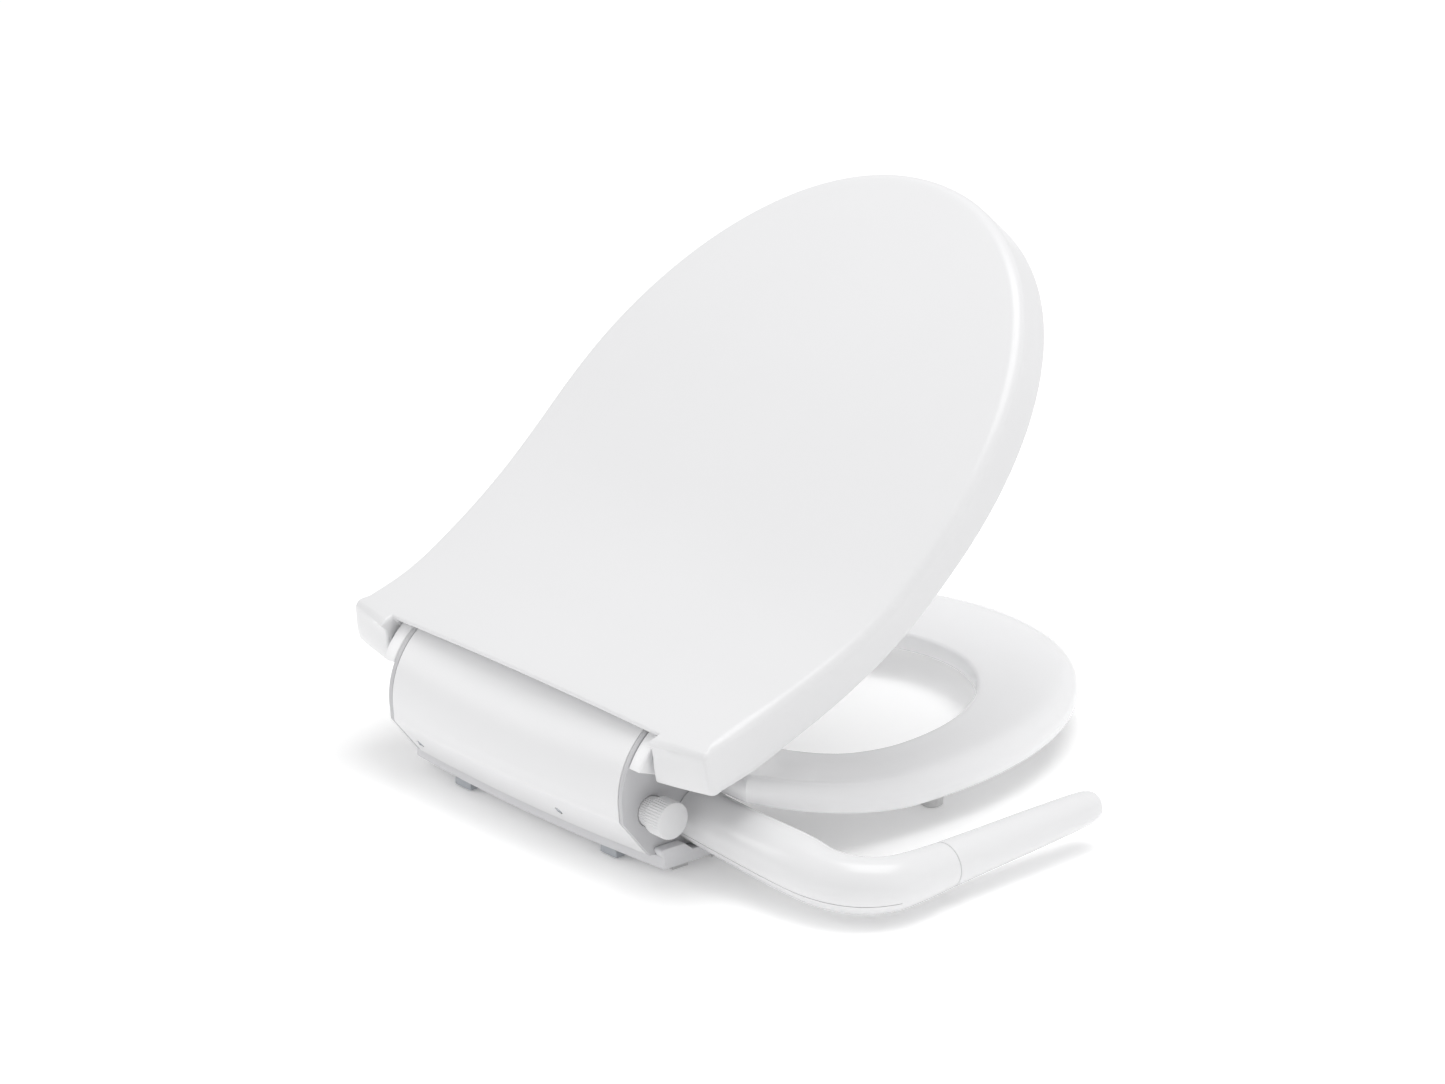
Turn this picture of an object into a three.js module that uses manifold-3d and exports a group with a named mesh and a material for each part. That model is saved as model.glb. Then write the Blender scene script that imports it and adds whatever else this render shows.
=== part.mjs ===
// Manual bidet seat: a round-front toilet seat and lid hinged to a rear water housing,
// with a pressure knob on the housing's right end and a twist grip on a side arm.
// Millimetres. +X is the seated user's right, +Y the front of the seat, +Z up.
// The origin lies midway between the two mounting bolts, on the bowl rim that the pads rest on.
import * as THREE from 'three';
import { mergeVertices } from 'three/addons/utils/BufferGeometryUtils.js';
import Module from 'manifold-3d';

const wasm = await Module();
wasm.setup();

// ---------------------------------------------------------------- driving dimensions
const gap = 0.4;                 // clearance between pieces that sit against each other
const padHeight = 6;             // rubber pads lift the base off the rim
const boltSpacing = 140;         // the 5.5 inch hole spacing of a toilet bowl
const boltRadius = 4;
const clampHalfWidth = 7.5;      // washer plate of each bolt, under the base
const clampRear = 12.5;
const clampFront = 9;

const housingHalfWidth = 112;    // outer faces of the two end caps
const endCapThickness = 3.4;
const coverWall = 2.6;
const arcRadius = 50.7;          // round back of the housing
const arcY = 14;
const arcZ = 55;
const foldZ = 40;                // crease where the round back meets the slanted foot
const foldOverhang = 1.17;
const foldY = arcY - Math.sqrt(arcRadius ** 2 - (foldZ - arcZ) ** 2) - foldOverhang;
const bow = 0.0004;              // how much the rear bows out in plan, per mm of half width

const baseMargin = 7.5;          // the base stands out this far beside the housing
const baseHalfWidth = housingHalfWidth + baseMargin;
const baseThickness = 8;
const baseRear = -15.6;          // rear edge of the base on the centre line
const baseFront = 52;

const hingeInset = 8.3;          // hinge line, inside the round back
const hingeTurn = THREE.MathUtils.degToRad(42.04);
const hingeY = arcY - (arcRadius - hingeInset) * Math.cos(hingeTurn);
const hingeZ = arcZ + (arcRadius - hingeInset) * Math.sin(hingeTurn);
const pinRadius = 4;
const pinClearance = 0.35;
const pinHold = 12;              // how far a pin reaches into the housing
const pinReach = 10;             // and past the inner face of the lid's ear
const damperRadius = 4.6;
const damperLength = 39.5;

const seatHalfWidth = 168;
const seatRearTaper = 15;        // how much narrower each side is at the rear
const seatWidestY = 171;
const seatFront = 385;
const seatRear = 25;
const seatBottom = 19.5;
const seatRise = 37;             // how much the rear of the seat stands above its front
const seatRiseStart = 157;
const seatCrest = 18;            // height of the crest above the seat's lower edge
const seatInnerEdge = 13;
const seatWall = 3.2;
const openingHalfWidth = 106.5;
const openingMidY = 190.7;
const openingFront = 320;
const openingRear = 100;
const earClearance = 0.6;        // between the housing and the seat's ears
const seatEarWidth = 10.4;
const seatEarInner = housingHalfWidth + earClearance;
const seatEarOuter = seatEarInner + seatEarWidth;

const lidOpenAngle = 41.7;       // the lid stands part open at rest
const lidOverhang = 14;          // the lid reaches this far past the seat's sides
const lidFrontOverhang = 18.8;
const lidRearTaper = 14.4;
const lidHalfWidth = seatHalfWidth + lidOverhang;
const lidRearHalfWidth = lidHalfWidth - lidRearTaper;
const lidWidestY = 176.8;
const lidFront = seatFront + lidFrontOverhang;
const lidRear = hingeY + 10.8;   // where the rear half width is measured
const lidRearRise = 10;          // the lid's upper edge above the hinge line there
const lidWall = 3.4;
const lidCrown = 9;
const lidEdgeRadius = 7;
const lidSkirtBottom = 27.8;
const lidSkirtRise = 31;
const lidEarLift = 0.064;        // how fast the skirt's lower edge climbs under the ears
const lidEarClearance = 4;       // between the seat's ears and the lid's
const lidNotchHalfWidth = seatEarOuter + lidEarClearance;
const lidNotchAhead = 4.2;       // the notch's edge, ahead of the housing's upper lip
const lidCornerBow = 0.0008;

const knobY = -14.5;
const knobZ = 43.5;
const knobRadius = 12;
const knobReach = 21.5;          // the knob's outer face, out from the housing
const knobFace = housingHalfWidth + knobReach;
const knobLength = 14;
const knobNeckRadius = 9.6;
const knobSpindleRadius = 3.5;

const armBore = 0.62;            // the arm's hollow as a share of its radius
const gripBore = 6.2;
const armGap = 0.5;
const armStartX = housingHalfWidth + armGap;

const inletY = -14;              // water inlet on the left end
const inletZ = 27;
const inletRadius = 4.8;
const inletCollarRadius = 6.4;
const inletReach = 9;            // how far the inlet stands out of the housing

const nozzleRadius = 5;
const nozzleSpacing = 20;
const nozzleTilt = 11.3;         // degrees that the nozzles point below the horizontal
const nozzleLength = 74;
const nozzleBackY = 0;
const nozzleBackZ = nozzleRadius + 31.5;

// ---------------------------------------------------------------- materials
const plastic = (color, roughness = 0.25) => (
  new THREE.MeshStandardMaterial({ color, roughness, metalness: 0 }));
const lidPlastic = plastic(0xf1f1f2);
const seatPlastic = plastic(0xf4f4f4);
const housingPlastic = plastic(0xeeeeef);
const endPlastic = plastic(0xe6e6e8, 0.35);
const basePlastic = plastic(0xe9e9ea, 0.4);
const armPlastic = plastic(0xf3f3f3);
const knobPlastic = plastic(0xeeeeee, 0.4);
const innerPlastic = plastic(0xd9dadc, 0.5);
const rubber = plastic(0xdddddd, 0.8);
const steel = new THREE.MeshStandardMaterial({ color: 0xb9bcc0, roughness: 0.3, metalness: 1 });
const brass = new THREE.MeshStandardMaterial({ color: 0xc9a85f, roughness: 0.35, metalness: 1 });
const tubing = plastic(0xe4e8ea, 0.4);

// ---------------------------------------------------------------- building blocks
const root = new THREE.Group();

// The solid of a closed three.js geometry, for cuts and joins.
function solid(geometry) {
  const bare = geometry.clone();
  for (const name of Object.keys(bare.attributes)) if (name !== 'position') bare.deleteAttribute(name);
  const merged = mergeVertices(bare, 1e-4);
  return new wasm.Manifold(new wasm.Mesh({
    numProp: 3,
    vertProperties: new Float32Array(merged.attributes.position.array),
    triVerts: new Uint32Array(merged.index.array),
  }));
}

function geometryOf(manifold) {
  const mesh = manifold.getMesh();
  const geometry = new THREE.BufferGeometry();
  geometry.setAttribute('position', new THREE.Float32BufferAttribute(mesh.vertProperties, 3));
  geometry.setIndex(Array.from(mesh.triVerts));
  return geometry;
}

function addNode(name, shape, material, parent = root) {
  const geometry = shape.isBufferGeometry ? shape : geometryOf(shape);
  const mesh = new THREE.Mesh(geometry, material);
  mesh.name = name;
  parent.add(mesh);
  return mesh;
}

const union = (...solids) => solids.reduce((a, b) => a.add(b));
const subtract = (first, ...others) => others.reduce((a, b) => a.subtract(b), first);

function box(x0, x1, y0, y1, z0, z1) {
  const geometry = new THREE.BoxGeometry(x1 - x0, y1 - y0, z1 - z0);
  return solid(geometry.translate((x0 + x1) / 2, (y0 + y1) / 2, (z0 + z1) / 2));
}

// A cylinder or cone along X, Y or Z that starts at "from".
function rod(axis, from, length, radius, endRadius = radius, sides = 24) {
  const geometry = new THREE.CylinderGeometry(endRadius, radius, length, sides);
  geometry.translate(0, length / 2, 0);
  if (axis === 'x') geometry.rotateZ(-Math.PI / 2);
  if (axis === 'z') geometry.rotateX(Math.PI / 2);
  return solid(geometry.translate(...from));
}

const shapeOf = (points) => new THREE.Shape(points.map(([u, v]) => new THREE.Vector2(u, v)));

// A side profile of (y, z) points, extruded along X; "steps" lets a bow be applied to it.
function prismX(points, x0, x1, steps = 1, shift = null) {
  const geometry = new THREE.ExtrudeGeometry(shapeOf(points), { depth: x1 - x0, steps, bevelEnabled: false });
  const place = new THREE.Matrix4().makeBasis(
    new THREE.Vector3(0, 1, 0), new THREE.Vector3(0, 0, 1), new THREE.Vector3(1, 0, 0));
  geometry.applyMatrix4(place).translate(x0, 0, 0);
  if (shift) {
    const position = geometry.attributes.position;
    for (let i = 0; i < position.count; i += 1) {
      position.setY(i, position.getY(i) + shift(position.getX(i), position.getZ(i)));
    }
  }
  return solid(geometry);
}

function prismZ(points, z0, z1) {
  const geometry = new THREE.ExtrudeGeometry(shapeOf(points), { depth: z1 - z0, bevelEnabled: false });
  return solid(geometry.translate(0, 0, z0));
}

// Skins a list of rings that have equally many points. Open ends are closed by fans,
// and "around" joins the last ring to the first.
function skin(rings, around = false) {
  const count = rings[0].length;
  const positions = rings.flat(2);
  const index = [];
  const bands = around ? rings.length : rings.length - 1;
  for (let i = 0; i < bands; i += 1) {
    const next = (i + 1) % rings.length;
    for (let j = 0; j < count; j += 1) {
      const k = (j + 1) % count;
      index.push(i * count + j, i * count + k, next * count + k);
      index.push(i * count + j, next * count + k, next * count + j);
    }
  }
  if (!around) {
    for (const [ring, flip] of [[0, true], [rings.length - 1, false]]) {
      const middle = [0, 1, 2].map((c) => rings[ring].reduce((sum, p) => sum + p[c], 0) / count);
      const centre = positions.push(...middle) / 3 - 1;
      for (let j = 0; j < count; j += 1) {
        const pair = [ring * count + j, ring * count + ((j + 1) % count)];
        index.push(...(flip ? pair.reverse() : pair), centre);
      }
    }
  }
  const geometry = new THREE.BufferGeometry();
  geometry.setAttribute('position', new THREE.Float32BufferAttribute(positions, 3));
  geometry.setIndex(index);
  return solid(geometry);
}

// A tube along a path: circles of a given radius at each point, square to the path.
function sweep(path, radiusAt, steps, sides) {
  const rings = [];
  const side = new THREE.Vector3();
  const over = new THREE.Vector3();
  const up = new THREE.Vector3(0, 0, 1);
  for (let i = 0; i <= steps; i += 1) {
    const t = i / steps;
    const centre = path.getPoint(t);
    const along = path.getTangent(t);
    side.crossVectors(along, up).normalize();
    over.crossVectors(side, along).normalize();
    const ring = [];
    for (let j = 0; j < sides; j += 1) {
      const a = (2 * Math.PI * j) / sides;
      const p = centre.clone()
        .addScaledVector(side, radiusAt(t) * Math.cos(a))
        .addScaledVector(over, radiusAt(t) * Math.sin(a));
      ring.push([p.x, p.y, p.z]);
    }
    rings.push(ring);
  }
  return skin(rings.reverse());
}

const clamp01 = (value) => Math.min(1, Math.max(0, value));

// ---------------------------------------------------------------- housing profile
// The bow is full at the crease and below it, and fades out towards the hinge line.
const housingBow = (x, z) => -bow * (housingHalfWidth ** 2 - x * x) * clamp01((88 - z) / 40);

// Points of the round back, from its upper lip to just above the crease.
function backArc(radius, fromZ, toZ, count) {
  const start = Math.asin((fromZ - arcZ) / radius);
  const end = Math.asin((toZ - arcZ) / radius);
  return Array.from({ length: count + 1 }, (_, i) => {
    const a = start + ((end - start) * i) / count;
    return [arcY - radius * Math.cos(a), arcZ + radius * Math.sin(a)];
  });
}

const lipTurn = THREE.MathUtils.degToRad(56.34);
const lipZ = arcZ + arcRadius * Math.sin(lipTurn);
const footY = -14.8;
const footZ = padHeight + baseThickness + gap;
const topFrontY = 23;
const topFrontZ = 72;
const topRearZ = lipZ - 9.7;
const noseTopZ = 46;
const noseFrontY = 80;
const noseFrontZ = 34;

const backOuter = [...backArc(arcRadius, lipZ, 47, 14), [foldY, foldZ], [footY, footZ]];
const backInner = [
  ...backArc(arcRadius - coverWall, lipZ - 1.2, 47, 14),
  [foldY + coverWall, foldZ + 0.8], [footY + coverWall * 1.3, footZ]];
const lipY = backOuter[0][0];
const lidNotchY = lipY + lidNotchAhead;

// ---------------------------------------------------------------- base and mounting
function makeBase() {
  const rearEdge = Array.from({ length: 17 }, (_, i) => {
    const x = baseHalfWidth * (1 - i / 8);
    return [x, baseRear + bow * x * x];
  });
  const outline = [[-baseHalfWidth, baseFront], ...rearEdge.reverse(), [baseHalfWidth, baseFront]];
  let plate = prismZ(outline.reverse(), padHeight, padHeight + baseThickness);
  const boltSlot = (x) => box(x - 9, x + 9, -boltRadius - gap, boltRadius + gap, 0, 40);
  const lightening = box(-50, 50, 12, 40, 0, 40);
  plate = subtract(plate, boltSlot(-boltSpacing / 2), boltSlot(boltSpacing / 2), lightening);
  for (const side of [-1, 1]) {
    const inner = side * (housingHalfWidth + gap);
    const outer = side * baseHalfWidth;
    const lug = prismX([[-9.6, 13], [-13.5, 19.3], [6, 19.3], [14, 13]],
      Math.min(inner, outer), Math.max(inner, outer));
    plate = plate.add(lug);
  }
  addNode('base_plate', plate, basePlastic);

  const padHalfLength = 12;
  const padHalfDepth = 6;
  const rearPadY = 9;
  const frontPadY = 40;
  const padX = housingHalfWidth - padHalfLength;
  addNode('base_pad_centre', box(-20, 20, -padHalfDepth, padHalfDepth, 0, padHeight - gap), rubber);
  for (const [name, side] of [['left', -1], ['right', 1]]) {
    const at = (side * boltSpacing) / 2;
    for (const [end, y] of [['rear', rearPadY], ['front', frontPadY]]) {
      const x = side * padX;
      const pad = box(
        x - padHalfLength, x + padHalfLength, y - padHalfDepth, y + padHalfDepth, 0, padHeight - gap);
      addNode(`base_pad_${end}_${name}`, pad, rubber);
    }
    const shank = rod('z', [at, 0, gap], padHeight + baseThickness + 1, boltRadius);
    const head = rod('z', [at, 0, padHeight + baseThickness + gap], 5, 8, 8, 6);
    addNode(`mounting_bolt_${name}`, union(shank, head), steel);
    const clamp = subtract(
      box(at - clampHalfWidth, at + clampHalfWidth, -clampRear, clampFront, 1, padHeight - gap),
      rod('z', [at, 0, -1], 10, boltRadius + gap));
    addNode(`bolt_clamp_${name}`, clamp, steel);
  }
}

// ---------------------------------------------------------------- housing
function makeHousing() {
  const coverEnd = housingHalfWidth - endCapThickness - gap;
  const rearProfile = [...backOuter, ...[...backInner].reverse()].reverse();
  let rear = prismX(rearProfile, -coverEnd, coverEnd, 12, housingBow);
  const screwAt = [[-(housingHalfWidth - 15), 24.6], [41, 24.6]];
  for (const [x, z] of screwAt) rear = rear.subtract(box(x - 3, x + 3, -60, 0, z - 2.6, z + 2.6));
  addNode('rear_cover', rear, housingPlastic);
  for (const [i, [x, z]] of screwAt.entries()) {
    const slope = (footY - foldY) / (foldZ - footZ);
    const y = footY - slope * (z - footZ) + housingBow(x, z);
    const screw = rod('y', [x, y + 1.2, z], 3.4, 2.1, 2.1, 16);
    addNode(`cover_screw_${i + 1}`, screw, steel);
  }

  const capProfile = [
    ...backOuter, [baseFront - 6, footZ], [baseFront - 6, noseTopZ - 8],
    [topFrontY + 5, noseTopZ], [topFrontY, noseTopZ + 4], [topFrontY, topFrontZ],
    [lipY + 2.6, topRearZ], [lipY + 1, lipZ - 2]].reverse();
  for (const [name, side] of [['left', -1], ['right', 1]]) {
    const a = side * (housingHalfWidth - endCapThickness);
    const b = side * housingHalfWidth;
    let cap = prismX(capProfile, Math.min(a, b), Math.max(a, b));
    cap = cap.subtract(rod('x', [Math.min(a, b) - 1, hingeY, hingeZ], 10, pinRadius + pinClearance));
    if (side > 0) {
      cap = cap.subtract(rod('x', [a - 1, knobY, knobZ], 10, knobNeckRadius + gap, knobNeckRadius + gap, 32));
      cap = cap.subtract(rod('x', [a - 1, 22.5, 32.4], 10, 10));
    } else {
      cap = cap.subtract(rod('x', [b - 1, inletY, inletZ], 10, inletRadius + 0.2 + gap));
    }
    addNode(`end_cap_${name}`, cap, endPlastic);
  }

  // The front cover: under the lid plate, down the front wall and out over the nozzles.
  const outer = [
    [lipY + 3, topRearZ], [topFrontY, topFrontZ], [topFrontY, noseTopZ + 4], [topFrontY + 5, noseTopZ],
    [noseFrontY, noseFrontZ], [noseFrontY, 20]];
  const inner = [
    [noseFrontY - coverWall, 20], [noseFrontY - coverWall, noseFrontZ - 2], [topFrontY + 3.5, noseTopZ - 2.6],
    [topFrontY - coverWall, noseTopZ + 3], [topFrontY - coverWall, topFrontZ - 2], [lipY + 3, topRearZ - 3]];
  let front = prismX([...outer, ...inner].reverse(), -coverEnd, coverEnd);
  const mouth = box(-nozzleSpacing / 2 - 9, nozzleSpacing / 2 + 9, noseFrontY - 8, noseFrontY + 4, 10, 28);
  const noseWidth = 60;
  for (const side of [-1, 1]) {
    const a = side * noseWidth;
    const b = side * (housingHalfWidth + 18);
    front = front.subtract(box(Math.min(a, b), Math.max(a, b), topFrontY + 12, 200, 0, 60));
  }
  front = front.subtract(mouth);
  addNode('front_cover', front, housingPlastic);

  // Floor tray that the water parts are screwed to.
  const tray = union(
    box(-coverEnd, coverEnd, footY + 6, baseFront - 4, footZ, footZ + 2.4),
    box(-coverEnd, -coverEnd + 2.4, footY + 8, baseFront - 6, footZ + 1, 32),
    box(coverEnd - 2.4, coverEnd, footY + 24, baseFront - 6, footZ + 1, 32));
  const boltAccess = [-1, 1].map((side) => rod('z', [(side * boltSpacing) / 2, 0, 0], 60, 9.5));
  addNode('chassis_tray', subtract(tray, ...boltAccess), innerPlastic);
}

// ---------------------------------------------------------------- water parts
function makeWaterParts() {
  const inletEnd = -(housingHalfWidth + inletReach);
  const inletInner = -(housingHalfWidth - 10.5);
  const collarEnd = -(housingHalfWidth + 2);
  const inlet = union(
    rod('x', [inletEnd, inletY, inletZ], collarEnd - inletEnd, inletCollarRadius, inletCollarRadius, 20),
    rod('x', [collarEnd - 1, inletY, inletZ], inletInner - collarEnd + 1, inletRadius, inletRadius, 20));
  const inletBore = rod('x', [inletEnd - 1, inletY, inletZ], 50, 3, 3, 16);
  addNode('inlet_fitting', inlet.subtract(inletBore), knobPlastic);

  const valveInner = housingHalfWidth - 50;
  const valveOuter = housingHalfWidth - 14;
  const body = union(
    box(valveInner, valveOuter, knobY - 10.5, knobY + 14.5, knobZ - 9.5, knobZ + 12.5),
    rod('x', [valveOuter - 1, knobY, knobZ], 6, 8));
  const seatBore = rod('x', [valveOuter - 18, knobY, knobZ], 30, knobSpindleRadius + 0.4);
  addNode('valve_body', body.subtract(seatBore), innerPlastic);
  const hose = (name, points, radius) => {
    const path = new THREE.CatmullRomCurve3(points.map((p) => new THREE.Vector3(...p)));
    addNode(name, sweep(path, () => radius, 24, 10), tubing);
  };
  hose('inlet_hose', [
    [inletInner + 0.5, inletY, inletZ], [inletInner + 31.5, inletY, inletZ], [-20, -20, 29], [30, -20, 38],
    [valveInner - 1.4, -14, 43]], 3.6);
  hose('rear_wash_hose', [
    [valveInner - 1, -8, 50], [30, -4, 52], [16, -12, 49], [nozzleSpacing / 2, -12, 42]], 2.6);
  hose('front_wash_hose', [
    [valveInner - 1, -20, 51], [20, -22, 53], [-6, -18, 50], [-nozzleSpacing / 2, -12, 42]], 2.6);
}

// ---------------------------------------------------------------- nozzles
const nozzleFrame = new THREE.Matrix4()
  .makeTranslation(0, nozzleBackY, nozzleBackZ)
  .multiply(new THREE.Matrix4().makeRotationX(THREE.MathUtils.degToRad(-nozzleTilt)));
const alongNozzle = (shape) => geometryOf(shape).applyMatrix4(nozzleFrame);

function makeNozzles() {
  const guideRadius = nozzleRadius + 0.5;
  const cradleHalf = nozzleSpacing / 2 + nozzleRadius + 7;
  const guides = [-1, 1].map((side) => {
    const x = (side * nozzleSpacing) / 2;
    const slot = box(x - 3, x + 3, 0, 60, nozzleRadius - 3, nozzleRadius + 3);
    return rod('y', [x, 0, 0], 60, guideRadius, guideRadius).add(slot);
  });
  const cradle = subtract(
    box(-cradleHalf, cradleHalf, 2, 58, -nozzleRadius - 4, nozzleRadius - 1), ...guides);
  addNode('nozzle_cradle', alongNozzle(cradle), innerPlastic);
  for (const [name, side] of [['rear_wash', 1], ['front_wash', -1]]) {
    const x = (side * nozzleSpacing) / 2;
    const wand = rod('y', [x, 1, 0], nozzleLength - 15, nozzleRadius);
    addNode(`${name}_nozzle`, alongNozzle(wand), innerPlastic);
    const tip = union(
      rod('y', [x, nozzleLength - 14 + gap, 0], 11, nozzleRadius + 0.6, nozzleRadius + 0.6, 24),
      rod('y', [x, nozzleLength - 3 + gap, 0], 2.4, nozzleRadius + 0.6, nozzleRadius - 1, 24));
    const jets = side > 0 ? [-1.6, 1.6] : [-2.4, 0, 2.4];
    const jetHoles = jets.map((d) => rod('z', [x + d, nozzleLength - 7, nozzleRadius - 1.6], 6, 0.7, 0.7, 8));
    addNode(`${name}_tip`, alongNozzle(subtract(tip, ...jetHoles)), lidPlastic);
  }
}

// ---------------------------------------------------------------- hinge
function makeHinge() {
  for (const [name, side] of [['left', -1], ['right', 1]]) {
    const inner = housingHalfWidth - pinHold;
    const outer = lidNotchHalfWidth + pinReach;
    const start = side > 0 ? inner : -outer;
    addNode(`hinge_pin_${name}`, rod('x', [start, hingeY, hingeZ], outer - inner, pinRadius), steel);
    const damperEnd = inner - gap - 0.1;
    const from = side > 0 ? damperEnd - damperLength : -damperEnd;
    addNode(`soft_close_damper_${name}`,
      rod('x', [from, hingeY, hingeZ], damperLength, damperRadius), innerPlastic);
  }
}

// ---------------------------------------------------------------- lid
const lidEdge = new THREE.SplineCurve([
  [lidRear - 53.3, hingeZ + lidRearRise + 24.6], [lidRear, hingeZ + lidRearRise],
  [55, 68.1], [137, 50.8], [260, 53], [lidFront, 57.7],
].map(([y, z]) => new THREE.Vector2(y, z))).getPoints(120);

// Height of the lid's upper edge at a given y.
function lidEdgeZ(y) {
  const i = Math.min(lidEdge.length - 2, Math.max(0, lidEdge.findIndex((p) => p.x > y) - 1));
  const [a, b] = [lidEdge[i], lidEdge[i + 1]];
  return a.y + ((b.y - a.y) * (y - a.x)) / (b.x - a.x);
}

const lidBottomZ = (y) => lidSkirtBottom
  + lidSkirtRise * Math.max(0, (seatRiseStart - y) / (seatRiseStart - lidRear)) ** 2.1
  + lidEarLift * Math.max(0, lidRear + 14.7 - y) ** 1.3;

// Half width of the lid at y, behind its widest place.
function lidSideX(y, inset) {
  const s = (lidWidestY - y) / (lidWidestY - lidRear);
  const taper = 1.02 * s ** 2 + 2.54 * s ** 3 - 2.56 * s ** 4;
  return lidHalfWidth - inset - (lidHalfWidth - lidRearHalfWidth) * taper;
}

// Plan outline of the lid, counter-clockwise from the rear right corner.
function lidOutline(inset, rear) {
  const sideSteps = 12;
  const frontSteps = 32;
  const points = [];
  for (let i = 0; i < sideSteps; i += 1) {
    const y = rear + ((lidWidestY - rear) * i) / sideSteps;
    points.push([lidSideX(y, inset), y]);
  }
  for (let i = 0; i <= frontSteps; i += 1) {
    const a = (Math.PI * i) / frontSteps;
    const across = Math.sign(Math.cos(a)) * Math.abs(Math.cos(a)) ** (2 / 2.06);
    points.push([
      (lidHalfWidth - inset) * across,
      lidWidestY + (lidFront - inset - lidWidestY) * Math.abs(Math.sin(a)) ** (2 / 2.08)]);
  }
  for (let i = sideSteps - 1; i >= 0; i -= 1) {
    const y = rear + ((lidWidestY - rear) * i) / sideSteps;
    points.push([-lidSideX(y, inset), y]);
  }
  const rearSteps = 12;
  const half = lidSideX(rear, inset);
  for (let i = 1; i < rearSteps; i += 1) points.push([-half + (2 * half * i) / rearSteps, rear]);
  return points;
}

function lidTopZ(x, y) {
  const ahead = clamp01((y - lidWidestY) / (lidFront - lidWidestY));
  const half = y > lidWidestY ? lidHalfWidth * Math.sqrt(Math.max(0.001, 1 - ahead ** 2)) : lidSideX(y, 0);
  return lidEdgeZ(y) + lidCrown * Math.max(0, 1 - (x / half) ** 2) * (1 - ahead ** 2);
}

// A body under the lid's top skin, lowered and inset by "inset", with a rounded upper edge.
function lidBody(inset, rear, bottomDrop) {
  const rings = [];
  rings.push(lidOutline(inset, rear).map(([x, y]) => [x, y, lidBottomZ(y) - bottomDrop]));
  const radius = Math.max(1, lidEdgeRadius - inset);
  for (let i = 0; i <= 4; i += 1) {
    const a = (Math.PI / 2) * (i / 4);
    const in2 = inset + radius * (1 - Math.cos(a)) + 1.6;
    const down = inset + radius * (1 - Math.sin(a));
    rings.push(lidOutline(in2, rear).map(([x, y]) => [x, y, lidTopZ(x, y) - down]));
  }
  const rim = lidOutline(inset + radius + 1.6, rear);
  const middleY = 190;
  for (const scale of [0.86, 0.68, 0.48, 0.26]) {
    rings.push(rim.map(([x, y]) => {
      const px = x * scale;
      const py = middleY + (y - middleY) * scale;
      return [px, py, lidTopZ(px, py) - inset];
    }));
  }
  return skin(rings);
}

const earPlane = (x) => lidCornerBow * Math.max(0, x * x - lidNotchHalfWidth ** 2);

// The space behind the round back, moved forward towards the lid's outer corners.
function behindBack(radius, x0, x1) {
  const arc = backArc(radius, arcZ + radius * 0.985, 30, 16);
  const profile = [[-120, 170], [arc[0][0], 170], ...arc, [-30, 10], [-120, 10]];
  return prismX(profile.reverse(), x0, x1, 10, (x) => earPlane(x));
}

const lidGroup = new THREE.Group();
lidGroup.position.set(0, hingeY, hingeZ);
lidGroup.rotation.x = THREE.MathUtils.degToRad(lidOpenAngle);
root.add(lidGroup);
const inLid = (shape) => geometryOf(shape).translate(0, -hingeY, -hingeZ);

function makeLid() {
  const outer = lidBody(0, -52, 0);
  const cavity = lidBody(lidWall, -60, 12);
  // the ears' rear face, and the wall that it leaves in front of it
  const wide = lidHalfWidth + 38;
  const rearLimit = behindBack(arcRadius - 0.2, -wide, wide);
  const wallInside = behindBack(arcRadius - 3, -wide, wide);
  const notchProfile = [
    [-80, 20], [30, 20], [30, 60], [lidNotchY, 60], [lidNotchY, 130], [-80, 130]];
  const notch = prismX(notchProfile, -lidNotchHalfWidth, lidNotchHalfWidth);
  const cheeks = [-1, 1].map((side) => {
    const a = side * (lidNotchHalfWidth - 2);
    const b = side * (lidNotchHalfWidth + 3);
    return box(Math.min(a, b), Math.max(a, b), -70, seatRear - 4, 20, 150);
  });
  const hollow = subtract(cavity, wallInside, ...cheeks);
  const holeEnd = lidNotchHalfWidth + pinReach + 1;
  const pinHole = rod('x', [-holeEnd, hingeY, hingeZ], holeEnd * 2, pinRadius + pinClearance);
  const shell = subtract(outer, hollow, rearLimit, notch, pinHole);
  addNode('lid_shell', inLid(shell), lidPlastic, lidGroup);

  for (const [name, side] of [['left', -1], ['right', 1]]) {
    const x = side * (seatHalfWidth - 18);
    const y = 200;
    const top = lidTopZ(x, y) - lidWall - gap;
    const bumper = rod('z', [x, y, top - 6], 4.3, 6, 7, 20);
    addNode(`lid_bumper_${name}`, inLid(bumper), rubber, lidGroup);
  }
}

// ---------------------------------------------------------------- seat
const seatBottomZ = (y) => seatBottom
  + seatRise * Math.max(0, (seatRiseStart - y) / (seatRiseStart - 12)) ** 1.7;

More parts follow.
